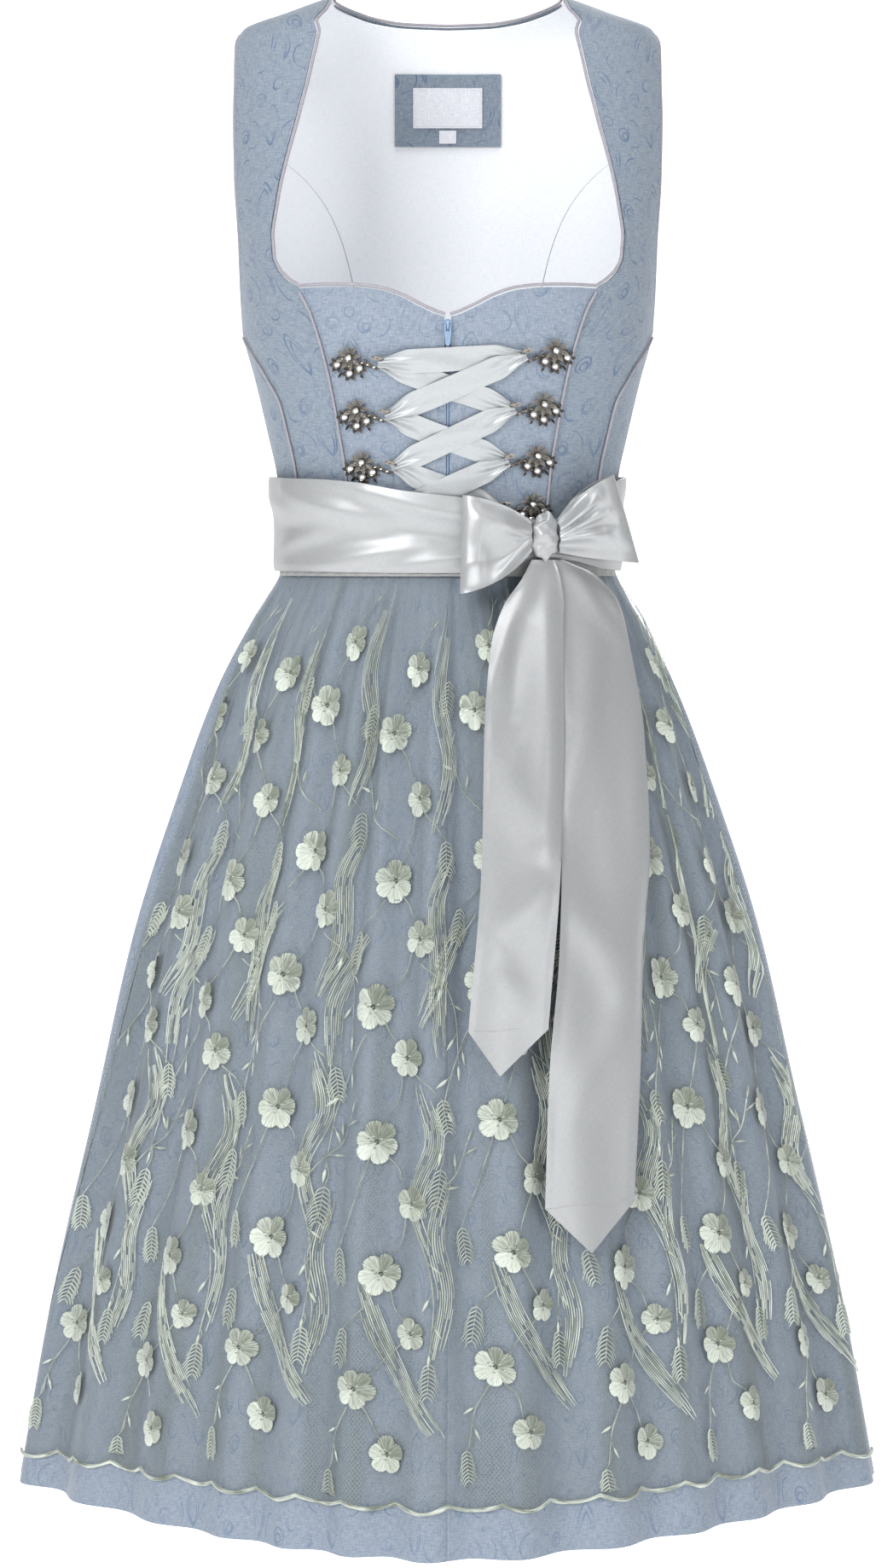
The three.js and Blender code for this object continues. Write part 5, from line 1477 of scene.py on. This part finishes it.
# %% Band above the net
angle, z = np.linspace(-BAND_END, BAND_END, 160)[None, :], np.linspace(-409, -377, 24)[:, None]
angle, z = angle + 0 * z, z + 0 * angle
rumple = 0.3 * np.sin(0.9 * angle + 0.4 * np.sin(z)) * np.exp(-(((z + 405) / 4) ** 2))
lift = band_out(BAND_OUT, angle) + rumple
outer, inner = on_bodice(angle, z, lift), on_bodice(angle, z, lift - NET)
length, placed = cloth_lengths(outer)
band = wall("apron_band_satin", outer, inner, np.stack([placed, z], -1) * 0.001, [band_satin])
cloth_piece(band, "apron_band", (length[:, -1].max() / 1000, 0.032))
band_angle = np.linspace(1 - BAND_END, BAND_END - 1, 400)
row_out = band_out(BAND_OUT, band_angle) + 0.15
band_rows = [on_bodice(band_angle, level + 0 * band_angle, row_out) for level in (-407.3, -404.8)]
stitches("apron_band_stitching", band_rows, pale_thread, 1.8, 2.8, 0.22)

# %% [markdown]
# ## Sash and bow
# The apron's satin sash goes round the waist and is tied in a bow over the right front, where the knot
# draws it together. Satin keeps no sharp folds, so its relief is made of broad soft creases, each laid
# down as a line with a depth and a width. They run from the places that pull, the knot and the
# loops' narrow ends.


# %% Soft creases
def creases(across, up, lines):
    """The sum of soft valleys, or ridges if the depth is below zero, each between two ends."""
    total = np.zeros(np.broadcast(across, up).shape)
    for x0, y0, x1, y1, depth, half in lines:
        dx, dy = x1 - x0, y1 - y0
        along = np.clip(((across - x0) * dx + (up - y0) * dy) / (dx * dx + dy * dy), 0, 1)
        away = np.hypot(across - x0 - along * dx, up - y0 - along * dy)
        swell = 0.35 + 0.65 * np.sin(math.pi * np.clip(along, 0.02, 0.98))
        total -= depth * np.exp(-((away / half) ** 2)) * swell
    return total


# %% Sash
SASH_WIDTH = 0.068  # metres
MM_PER_DEGREE = 1.8
SASH_EDGES = rows_of(
    "angle top bottom",
    (-180, -337, -405),
    (-90, -338, -405.5),
    (-46, -339.5, -406),
    (-28, -342, -406.5),
    (-13, -347.5, -406.8),
    (4, -352.7, -406.8),
    (20, -363, -402),
    (30, -369, -396),
    (42, -364, -398),
    (60, -344, -404),
    (90, -338, -405.5),
    (180, -337, -405),
)
sash_top, sash_bottom = track(SASH_EDGES, "top", "angle"), track(SASH_EDGES, "bottom", "angle")
SASH_CREASES = [
    # from angle and z, to angle and z, depth (below zero for a ridge), half width in mm
    (-94, -350, -46, -366, -2.4, 8.5),
    (-80, -392, -40, -376, -2.0, 7.5),
    (-62, -348, -10, -374, -3.0, 7.5),
    (-46, -401, -6, -388, -2.4, 7.0),
    (-30, -364, 4, -384, 1.3, 6.0),
    (-24, -350, 24, -377, -3.2, 6.5),
    (-14, -402, 24, -389, -2.2, 5.5),
    (4, -360, 30, -376, -2.0, 4.5),
    (38, -384, 74, -354, -2.4, 6.0),
    (42, -382, 78, -398, -2.0, 5.5),
    (80, -392, 128, -364, -2.6, 8.0),
    (96, -350, 150, -382, -2.8, 8.5),
    (140, -398, 178, -370, -2.0, 7.0),
    (-176, -352, -130, -388, -2.6, 8.0),
    (-150, -400, -104, -372, -2.2, 7.0),
]
angle = np.linspace(-180, 180, 301)[None, :-1]
v = np.linspace(0, 1, 34)[:, None]
z = lerp(sash_bottom(angle), sash_top(angle), v)
in_mm = np.array([MM_PER_DEGREE, 1, MM_PER_DEGREE, 1, 1, 1])
lift = 0.8 + creases(angle * MM_PER_DEGREE, z, np.array(SASH_CREASES) * in_mm)
lift = lift + 0.35 * np.sin(v * 7 + np.radians(angle) * 4)
lift = np.maximum(lift, -1.1) - 0.9 * (1 - smoothstep(np.minimum(v, 1 - v), 0, 0.08)) * (lift > 0)
outer = on_bodice(angle, z, band_out(SASH_OUT, angle) + lift)
inner = on_bodice(angle, z, band_out(SASH_OUT, angle) + 0.6 * lift - SATIN)
cloth_u = np.concatenate([angle, [[180.0]]], axis=1) * MM_PER_DEGREE
uv = np.stack([cloth_u + 0 * v, v * 66 + 0 * cloth_u], -1) * 0.001
sash = wall("sash_satin", outer, inner, uv, [sash_satin], loop=True, crease=60)
sash_length = float(run_length(outer[17])[-1]) / 1000
cloth_piece(sash, "sash", (sash_length, SASH_WIDTH))

# %% Knot
KNOT, KNOT_SIZE, KNOT_TURN = (67, -95.6, -381), (20.4, 15.3, 31.62), math.radians(22)
bpy.ops.object.select_all(action="DESELECT")
bpy.ops.mesh.primitive_uv_sphere_add(segments=48, ring_count=28, radius=0.5, location=(0, 0, 0))
knot = bpy.context.object
knot.name = "bow_knot_satin"
points = np.array([v.co[:] for v in knot.data.vertices])
turn, rise = np.arctan2(points[:, 0], -points[:, 1]), points[:, 2] * 2
wrap = 0.1 * np.sin(5.2 * rise + 2 * turn + 0.9) + 0.05 * np.sin(11 * rise - 3 * turn)
pinch = 1 - 0.14 * np.exp(-(((rise - 0.2 + 0.5 * np.sin(turn)) / 0.2) ** 2))
points *= ((1 + wrap) * pinch)[:, None]
x, y, z = (points * KNOT_SIZE).T
c, s = math.cos(KNOT_TURN), math.sin(KNOT_TURN)
points = np.stack([c * x - s * y, s * x + c * y, z], -1)
knot.data.vertices.foreach_set("co", ((points + KNOT) * 0.001).ravel())
knot.data.uv_layers[0].name = "cloth"
layer = knot.data.uv_layers[0].data
flat_uv = np.zeros(len(layer) * 2)
layer.foreach_get("uv", flat_uv)
layer.foreach_set("uv", flat_uv * 0.06)
knot.data.materials.append(sash_satin)
knot.data.shade_smooth()
belongs(knot, "bow_knot")
print("knot triangles", sum(len(p.vertices) - 2 for p in knot.data.polygons))

# %% Loops of the bow
LOOP_PATH = rows_of(
    "step reach ahead open",
    (0, 0.02, -1.5, 0),
    (1, 0.22, -3.4, 0.42),
    (2, 0.5, -4.6, 0.78),
    (3, 0.8, -4.4, 0.96),
    (4, 0.96, -2.8, 1),
    (5, 1, 0.8, 1),
    (6, 0.95, 5.4, 1),
    (7, 0.76, 9.4, 0.95),
    (8, 0.48, 9.6, 0.76),
    (9, 0.22, 6.2, 0.42),
    (10, 0.02, 2.4, 0),
)
reach_at, ahead_at, open_at = (track(LOOP_PATH, key, "step") for key in ("reach", "ahead", "open"))
LOOPS = [
    # node, start x y top bottom, top end, bottom end, creases in (reach, height share)
    (
        "bow_loop_left",
        (58.4, -99, -371, -391),
        (10, -109, -352.5),
        (8, -113, -420),
        [
            (0.25, 0.42, 0.8, 0.5, 4.2, 0.15),
            (0.2, 0.3, 0.7, 0.28, 2.6, 0.12),
            (0.0, 0.62, 0.8, 0.8, -2.4, 0.09),
            (0.05, 0.36, 0.5, 0.08, -3.2, 0.07),
            (0.0, 0.5, 0.4, 0.66, -1.4, 0.04),
            (0.3, 0.95, 0.95, 0.97, 1.4, 0.08),
        ],
    ),
    (
        "bow_loop_right",
        (75.6, -92.4, -369, -392),
        (115, -79, -338),
        (133, -72, -399),
        [
            (0.05, 0.66, 0.62, 0.86, -4.0, 0.08),
            (0.0, 0.5, 0.7, 0.62, -2.6, 0.05),
            (0.1, 0.82, 0.45, 0.98, 3.0, 0.09),
            (0.15, 0.6, 0.55, 0.72, 2.6, 0.05),
            (0.0, 0.36, 0.6, 0.34, -3.2, 0.07),
            (0.3, 0.48, 0.85, 0.5, 3.4, 0.10),
            (0.2, 0.18, 0.9, 0.12, 1.6, 0.08),
        ],
    ),
]


def lean_out(z):
    """The loops' lower corners stand out over the skirt."""
    return -13 * smoothstep(-z, 396, 421)


for node, start, top_end, bottom_end, lines in LOOPS:
    start_x, start_y, start_top, start_bottom = start
    to_left = bottom_end[0] < start_x
    step = np.linspace(0, 10, 130) if to_left else np.linspace(10, 0, 130)
    reach, ahead, open_ = (f(step)[None, :] for f in (reach_at, ahead_at, open_at))
    v = np.linspace(0, 1, 44)[:, None]
    away = unit(np.array([bottom_end[0] - start_x, bottom_end[1] - start_y]))
    facing = np.array([away[1], -away[0]]) * (1 if away[0] > 0 else -1)
    end_x, end_y = lerp(bottom_end[0], top_end[0], v), lerp(bottom_end[1], top_end[1], v)
    near = lerp(start_bottom, start_top, v)
    z = lerp(near, lerp(bottom_end[2], top_end[2], v), open_ * 0.65 + reach * 0.35)
    puff = ahead * (0.75 + 0.35 * np.sin(math.pi * v))
    on_face = np.sign(ahead - 0.5) * (0.35 + 0.65 * smoothstep(np.abs(ahead), 0, 4))
    folded = creases(reach + 0 * v, v + 0 * reach, lines) * on_face
    near_knot = 0.9 * np.sin(v * 17 + 1.5) * (1 - smoothstep(reach, 0.05, 0.55))
    puff = puff + folded + near_knot
    x = lerp(start_x, end_x, reach) + facing[0] * puff
    y = lerp(start_y, end_y, reach) + facing[1] * puff + lean_out(z)
    outer = np.stack([x, y, z + 0 * x], -1)
    inner = outer - grid_normals(outer) * SATIN
    run = run_length(outer[22])
    uv = np.stack([run[None, :] + 0 * v, v * 1000 * SASH_WIDTH + 0 * run[None, :]], -1) * 0.001
    loop = wall(f"{node}_satin", outer, inner, uv, [sash_satin], crease=60)
    cloth_piece(loop, node, (SASH_WIDTH, run[-1] / 1000))

# %% Tails of the bow
TAILS = [
    # node, ease over the apron, tip, edges, creases from x and z to x and z with depth and half width
    (
        "bow_tail_left",
        3.6,
        (34.7, -738.5),
        rows_of(
            "z left right",
            (-397, 58, 74),
            (-410, 51, 78),
            (-428, 38.6, 80.2),
            (-452, 30.3, 80.2),
            (-508, 24.9, 80),
            (-594, 23, 77),
            (-709, 13.7, 67.3),
        ),
        [
            (60, -398, 28, -486, -3.4, 7),
            (71, -398, 68, -590, -4.6, 9),
            (50, -420, 44, -500, 3.4, 7),
            (30, -524, 62, -585, -3.2, 13),
            (72, -610, 34, -650, -2.8, 14),
            (30, -668, 56, -700, -1.8, 12),
        ],
    ),
    (
        "bow_tail_right",
        1.4,
        (96.4, -858.4),
        rows_of(
            "z left right",
            (-397, 61, 80),
            (-408, 66, 104),
            (-428, 71, 120),
            (-452, 74, 126),
            (-516, 77, 136.1),
            (-594, 77, 139.1),
            (-660, 75, 133.4),
            (-740, 68, 130.8),
            (-827, 64.8, 126),
        ),
        [
            (70, -398, 80, -500, -3.4, 6),
            (86, -402, 122, -452, -4.6, 8),
            (100, -455, 84, -560, -3.8, 12),
            (112, -424, 108, -520, 1.3, 9),
            (128, -500, 132, -610, -3.0, 10),
            (78, -615, 118, -680, -3.6, 15),
            (120, -700, 84, -775, -3.2, 15),
        ],
    ),
]


def in_front_of_apron(x, z, out):
    """The point at this x and z that far off the plain skirt, found by halving the turn."""
    low, high = np.full(x.shape, -89.0), np.full(x.shape, 89.0)
    for _ in range(26):
        middle = (low + high) / 2
        before = on_skirt(middle, z, out)[..., 0] < x
        low, high = np.where(before, middle, low), np.where(before, high, middle)
    return on_skirt(low, z, out)


tail_stitches = []
for node, ease, tip, edges, lines in TAILS:
    left_at, right_at = track(edges, "left"), track(edges, "right")
    square, top = edges[-1]["z"], edges[0]["z"]
    width = float(right_at(square) - left_at(square))
    peak = (tip[0] - float(left_at(square))) / width
    t = np.linspace(0, 1, 34)[None, :]
    slope = np.minimum(t / peak, (1 - t) / (1 - peak))
    lowest = lerp(square, tip[1], slope) - 1
    point_rows = lerp(lowest, square, np.linspace(0, 1, 14)[:-1, None])
    plain_rows = np.linspace(0, 1, 130)[:, None] ** 1.1 * (top - square) + square + 0 * t
    z = np.concatenate([point_rows, plain_rows])
    level = np.maximum(z, square)
    x = lerp(left_at(level), right_at(level), t)
    wave = 1 + np.sin(x / 7.5 + z / 80)
    curl = -1.6 * np.exp(-(np.minimum(t, 1 - t) / 0.05) ** 2) * np.sin(z / 47)
    lift = tail_reach(z) + ease + wave * 0.8 + np.maximum(creases(x, z, lines), -ease)
    lift = lift + np.maximum(curl, -0.8)
    outer, inner = in_front_of_apron(x, z, lift), in_front_of_apron(x, z, lift - SATIN)
    uv = np.stack([x, z], -1) * 0.001
    tail = wall(f"{node}_satin", outer, inner, uv, [sash_satin], crease=60)
    cloth_piece(tail, node, (SASH_WIDTH, (top - tip[1]) / 1000))
    row_x = np.linspace(float(left_at(square)) + 0.8, float(right_at(square)) - 0.8, 90)
    row_z = square - 0.4 + 0.5 * np.sin(row_x / 6)
    row_lift = tail_reach(row_z) + ease + (1 + np.sin(row_x / 7.5 + row_z / 80)) * 0.8 + 0.25
    tail_stitches.append(in_front_of_apron(row_x, row_z, row_lift))
stitches("bow_tail_stitching", tail_stitches, pale_thread, 1.5, 2.0, 0.3)

# %% [markdown]
# ## The embroidery
# Garlands of rounded flowers, feathered leaves, sprigs of buds and sweeping bands of long stitches run
# down the net. All of it is thread, so a stroke of stitches is a thin closed strip, raised along its
# middle, and a petal is a small dome. Both are drawn flat, in millimetres from a garland's middle line,
# and then laid on the net.

# %% Strokes and petals
strokes = {"points": [], "faces": [], "uv": [], "tone": [], "count": 0}


def lay(points, faces, uv, tone):
    """Keeps a shape given as (across, down, height) in flat millimetres of the garland."""
    base = strokes["count"]
    strokes["count"] += len(points)
    strokes["points"].append(np.asarray(points, float))
    strokes["faces"] += [[base + k for k in face] for face in faces]
    strokes["uv"].append(np.asarray(uv, float))
    strokes["tone"].append(np.broadcast_to(tone, (len(points),)).astype(float))


def stroke(path, widths, height, tone, steps=None):
    """A strip of stitches along a path, as wide as its widths and raised along the middle."""
    path = np.asarray(path, float)
    if steps:
        t = np.linspace(0, len(path) - 1, steps)
        widths = np.interp(t, np.linspace(0, len(path) - 1, len(widths)), widths)
        path = np.stack([through(path[:, i], t) for i in (0, 1)], -1)
    widths = np.asarray(widths, float)
    run = unit(np.gradient(path, axis=0))
    side = np.stack([-run[:, 1], run[:, 0]], -1) * widths[:, None] / 2
    count = len(path)
    low, high = np.full((count, 1), -0.1), (height * np.minimum(1, widths / widths.max() + 0.25))[:, None]
    section = [np.hstack([path + side, low]), np.hstack([path, high]), np.hstack([path - side, low])]
    points = np.stack(section, 1).reshape(-1, 3)
    index = np.arange(count * 3).reshape(count, 3)
    nxt = np.roll(index, -1, axis=1)
    faces = np.stack([index[:-1], index[1:], nxt[1:], nxt[:-1]], -1).reshape(-1, 4).tolist()
    faces += [index[0].tolist(), index[-1][::-1].tolist()]
    across = np.array([0, 0.5, 1]) * widths.max()
    uv = np.stack([np.repeat(run_length(path), 3), np.tile(across, count)], -1) * 0.001
    lay(points, faces, uv, tone)


PETAL_COLUMNS, PETAL_ROWS = 7, 5


def petal(centre, radius, turn, half_angle, tone):
    """A rounded petal: a fan of satin stitches that swells into a dome, with a flat back."""
    a = np.linspace(-1, 1, PETAL_COLUMNS)[None, :]
    r = np.array([0.12, 0.45, 0.75, 0.93, 1.0])[:, None]
    outline = radius * (1 - 0.2 * np.abs(a) ** 3)
    angle = turn + a * half_angle * (1.12 - 0.14 * r**4)
    x, y = centre[0] + r * outline * np.cos(angle), centre[1] + r * outline * np.sin(angle)
    dome = 0.1 + 0.75 * np.sin(math.pi * np.clip(0.12 + r * 0.85, 0, 1)) * (1 - 0.3 * a**2)
    top, back = np.stack([x, y, dome + 0 * x], -1), np.stack([x, y, -0.15 + 0 * x], -1)
    count = PETAL_ROWS * PETAL_COLUMNS
    index = np.arange(count).reshape(PETAL_ROWS, PETAL_COLUMNS)
    quads = np.stack([index[:-1, :-1], index[1:, :-1], index[1:, 1:], index[:-1, 1:]], -1).reshape(-1, 4)
    rim = np.concatenate([index[0], index[1:, -1], index[-1, -2::-1], index[-2:0:-1, 0]])
    after = np.roll(rim, -1)
    side = np.stack([rim, after, after + count, rim + count], -1)
    faces = quads.tolist() + [(rim[::-1] + count).tolist()] + side.tolist()
    along = r * radius + 0 * a
    across = a * half_angle * radius + 0 * r
    uv = np.tile(np.stack([along, across], -1).reshape(-1, 2), (2, 1)) * 0.001
    shade = np.tile((tone + 0.16 * (r - 0.6) + 0 * a).reshape(-1), 2)
    lay(np.concatenate([top.reshape(-1, 3), back.reshape(-1, 3)]), faces, uv, shade)


# The painted sheen of the thread is palest for stitches that lie this way.
LIGHT_FROM = 2.4  # the way in which thread looks palest, in radians on the flat cloth


def painted_thread_sheen(turn, base=0.46, swing=0.4):
    """Painted sheen: stitches that lie towards the light are painted pale, and those across it olive."""
    return base + swing * math.cos(turn - LIGHT_FROM)


# %% Flowers and leaves
def flower(x, y, radius, petals, first):
    """Petals round a centre of small knots in a spiral."""
    for i in range(petals):
        turn = first + 2 * math.pi * i / petals + chance.uniform(-0.06, 0.06)
        size = radius * chance.uniform(0.92, 1.06)
        # Painted sheen: each petal is painted paler or more olive by the way its stitches lie, with some random
        # variation.
        petal((x, y), size, turn, math.pi / petals, painted_thread_sheen(turn) + chance.uniform(-0.14, 0.14))
    for i in range(13):
        turn = 2.4 * i
        away = radius * 0.11 * math.sqrt(i)
        at_x, at_y = x + away * math.cos(turn), y + away * math.sin(turn)
        path = [(at_x - 1, at_y), (at_x, at_y + 0.01), (at_x + 1, at_y)]
        stroke(path, (0.7, 1.8, 0.7), 1.6, 0.02 + 0.85 * (i % 2))


def stem(path, tone=0.35, width=1.0):
    stroke(path, (width * 1.1, width, width * 0.7), 0.5, tone, steps=4 * len(path))


def feather(x, y, length, turn, tone=0.7):
    """A leaf of separate barbs on both sides of a midrib."""
    along = np.array([math.cos(turn), math.sin(turn)])
    side = np.array([-along[1], along[0]])
    root = np.array([x, y])
    stroke([root, root + along * length * 0.92], (0.7, 0.4), 0.5, tone - 0.2, steps=3)
    for i in range(9):
        s = 0.03 + 0.88 * i / 8
        barb = length * 0.34 * math.sin(math.pi * min(1, s * 0.72 + 0.2)) + length * 0.06
        for sign in (-1, 1):
            start = root + along * length * s
            reach = barb * chance.uniform(0.86, 1.14)
            tip = start + along * reach * 0.8 + side * sign * reach * 0.72
            bend = start + along * barb * 0.26 + side * sign * barb * 0.42
            # Painted sheen: the barbs on one side are painted paler and those on the other side darker, with
            # some random variation.
            shade = tone + (0.22 if sign > 0 else -0.2) + chance.uniform(-0.1, 0.1)
            stroke([start, bend, tip], (0.7, 1.0, 0.35), 0.95, shade)


def bud(x, y, length, turn, tone):
    along = np.array([math.cos(turn), math.sin(turn)])
    path = [np.array([x, y]) + along * length * s for s in (0, 0.3, 0.6, 1)]
    stroke(path, (0.5, length * 0.24, length * 0.22, 0.3), 0.7, tone)


# %% Sprigs and bands
def sprig(path, buds, tone=0.45):
    """A thin stem with buds that leave it in turn to both sides. A bud has its share along and its angle."""
    path = np.asarray(path, float)
    stem(path, tone, 0.8)
    rows = np.arange(len(path))
    for share, offset, length in buds:
        t = share * (len(path) - 1)
        at = np.array([np.interp(t, rows, path[:, k]) for k in (0, 1)])
        further = min(t + 0.2, len(path) - 1)
        ahead = np.array([np.interp(further, rows, path[:, k]) for k in (0, 1)]) - at
        if share >= 1:
            ahead = path[-1] - path[-2]
        turn = math.atan2(ahead[1], ahead[0]) + offset
        twig = length * (0.5 if abs(offset) > 0.01 else 0.1)
        root = at + twig * np.array([math.cos(turn), math.sin(turn)])
        if twig > 2:
            stroke([at, (at + root) / 2, root], (0.8, 0.7, 0.6), 0.5, tone)
        # Painted sheen: each bud is painted paler or more olive by the way it points.
        bud(root[0], root[1], length, turn, painted_thread_sheen(turn, 0.62, 0.25))


def sweep_band(path, width, lines, tone):
    """A sweeping band of long loose stitches that run side by side and break in places."""
    path = np.asarray(path, float)
    count = 20
    t = np.linspace(0, len(path) - 1, count)
    spine = np.stack([through(path[:, i], t) for i in (0, 1)], -1)
    run = unit(np.gradient(spine, axis=0))
    side = np.stack([-run[:, 1], run[:, 0]], -1)
    swell = np.sin(math.pi * np.linspace(0.05, 0.96, count)) ** 0.3
    for i in range(lines):
        off = (i / (lines - 1) - 0.5) * width
        strand = spine + side * (off * swell)[:, None]
        cut = chance.integers(0, 5)
        while cut < count - int(chance.integers(3, 6)):
            piece = int(chance.integers(4, 8))
            part = strand[cut : cut + piece]
            if len(part) > 2:
                shade = tone + chance.uniform(-0.3, 0.4)
                shape = np.interp(np.linspace(0, 1, len(part)), (0, 0.3, 0.8, 1), (0.55, 0.8, 0.75, 0.55))
                stroke(part, shape, 0.45, shade)
            cut += piece - 1 + int(chance.integers(0, 2))


# %% One garland
# Places are in millimetres: x from the garland's middle line, y from the waist down.
BLOOMS = [
    # x, y, radius, petals
    (6, 34, 12.5, 6),
    (-12, 78, 13.8, 6),
    (14, 122, 12.0, 5),
    (-4, 178, 14.8, 6),
    (20, 216, 13.0, 6),
    (-14, 262, 15.0, 6),
    (12, 296, 13.4, 6),
    (-8, 352, 14.8, 6),
    (20, 392, 12.2, 5),
    (-2, 440, 14.4, 6),
    (22, 478, 10.8, 5),
    (-16, 516, 13.6, 6),
    (6, 560, 12.4, 5),
]
SPRIGS = [
    # path, and for each bud its share along, its angle to the stem and its length
    ([(-4, 150), (-22, 136), (-34, 112), (-40, 84)],
     [(0.35, 0.7, 9), (0.55, -0.7, 9), (0.75, 0.6, 9), (1, 0, 9)]),
    ([(22, 232), (40, 246), (50, 272), (52, 300)],
     [(0.3, 0.8, 9), (0.5, -0.7, 8), (0.75, 0.7, 9), (1, 0, 10)]),
    ([(-18, 280), (-34, 306), (-46, 338), (-50, 372)],
     [(0.3, -0.6, 9), (0.5, 0.6, 10), (0.72, -0.6, 9), (1, 0, 9)]),
    ([(24, 404), (38, 384), (52, 372), (60, 352)],
     [(0.4, 0.7, 9), (0.65, -0.6, 9), (0.85, 0.7, 8), (1, 0, 9)]),
    ([(24, 408), (34, 432), (38, 460), (36, 490)],
     [(0.3, -0.6, 8), (0.55, 0.6, 9), (0.78, -0.6, 8), (1, 0, 9)]),
    ([(-20, 528), (-30, 548), (-34, 570)], [(0.35, 0.6, 8), (0.65, -0.6, 8)]),
    ([(8, 20), (16, 8), (18, -2)], [(0.5, 0.7, 8)]),
]
LEAVES = [
    # x, y, length, turn, and where the stem starts
    (-34, 58, 22, 1.75, -12, 90),
    (38, 150, 23, 1.5, 18, 130),
    (-30, 212, 22, 1.8, -10, 190),
    (-50, 384, 24, 1.7, -50, 368),
    (-36, 424, 22, 1.4, -12, 362),
    (-26, 476, 24, 1.75, -6, 452),
    (-36, 572, 20, 1.5, -32, 560),
    (36, 496, 22, 1.6, 36, 486),
    (40, 322, 22, 1.35, 20, 306),
]
BANDS = [
    # path, width, lines, tone
    ([(34, -6), (28, 50), (40, 100), (30, 146)], 12, 9, 0.62),
    ([(44, 160), (32, 196), (36, 236), (22, 274)], 13, 10, 0.66),
    ([(-20, 214), (-38, 236), (-50, 268), (-48, 310)], 12, 9, 0.66),
    ([(36, 424), (24, 388), (36, 350), (24, 312)], 13, 10, 0.62),
    ([(-14, 446), (-2, 480), (18, 512), (44, 548)], 13, 10, 0.66),
    ([(-46, 392), (-54, 430), (-48, 468), (-56, 510)], 11, 8, 0.66),
]


def garland():
    """A garland about 600 mm long."""
    for x, y, radius, petals in BLOOMS:
        flower(x, y, radius, petals, 0.4 + chance.uniform(0, 1))
    for (x0, y0, r0, _), (x1, y1, r1, _) in zip(BLOOMS[:-1], BLOOMS[1:]):
        gap = np.array([x1 - x0, y1 - y0])
        length = np.hypot(*gap)
        way = gap / length
        a = np.array([x0, y0]) + way * r0 * 0.86
        b = np.array([x1, y1]) - way * r1 * 0.86
        bend = np.array([-way[1], way[0]]) * chance.uniform(-5, 5)
        if np.dot(b - a, way) > 3:
            stem([a, (a + b) / 2 + bend, b], 0.3)
    for path, buds in SPRIGS:
        sprig(path, buds)
    for x, y, length, turn, x0, y0 in LEAVES:
        stem([(x0, y0), ((x + x0) / 2 + 2, (y + y0) / 2), (x, y)], 0.38, 0.8)
        feather(x, y, length * 1.1, turn, chance.uniform(0.7, 0.95))
    for path, width, lines, tone in BANDS:
        sweep_band(path, width, lines, tone)


# %% Eight garlands on the net
GARLANDS = [
    # place across the flat net and shift downwards, in mm
    (-378, 6),
    (-270, 18),
    (-162, -4),
    (-54, 14),
    (54, -2),
    (162, 16),
    (270, 2),
    (378, 12),
]
GARLAND_TOP_Z, GARLAND_SHRINK, KEPT_INSIDE, LAID_OUT = -424, 0.985, 0.985, 0.4
placed_points, first_block = [], 0
for across_mm, shift in GARLANDS:
    garland()
    drawn = np.concatenate(strokes["points"][first_block:])
    first_block = len(strokes["points"])
    level = np.clip(GARLAND_TOP_Z - (drawn[:, 1] + shift) * GARLAND_SHRINK, -1018, -413)
    squeeze = (mm_per_turn(level) / mm_per_turn(HEM_Z)) ** 0.6
    edge = apron_edge(apron_drop(level))
    turn = across_mm / (APRON_CUT * 500) * edge + drawn[:, 0] * squeeze / mm_per_turn(level)
    turn = np.clip(turn, -KEPT_INSIDE * edge, KEPT_INSIDE * edge)
    placed_points.append(on_apron(turn, level, drawn[:, 2] + LAID_OUT))
all_points = np.concatenate(placed_points)
print("embroidery points", len(all_points), "faces", len(strokes["faces"]))

# %% The embroidery's mesh
faces = [face[::-1] for face in strokes["faces"]]
uv = np.concatenate(strokes["uv"])[np.concatenate(faces)]
embroidery = make_mesh("apron_embroidery", all_points, faces, [rayon], uv, crease=70)
# The tone held at each point is partly painted sheen, by the way the stitches lie, and partly random.
mark(embroidery, "tone", np.clip(np.concatenate(strokes["tone"]), 0, 1))
belongs(embroidery)
print("embroidery triangles", sum(len(face) - 2 for face in faces))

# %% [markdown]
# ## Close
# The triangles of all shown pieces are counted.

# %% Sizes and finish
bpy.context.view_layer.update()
total = 0
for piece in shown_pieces():
    if piece.type == "MESH":
        piece.data.calc_loop_triangles()
        total += len(piece.data.loop_triangles)
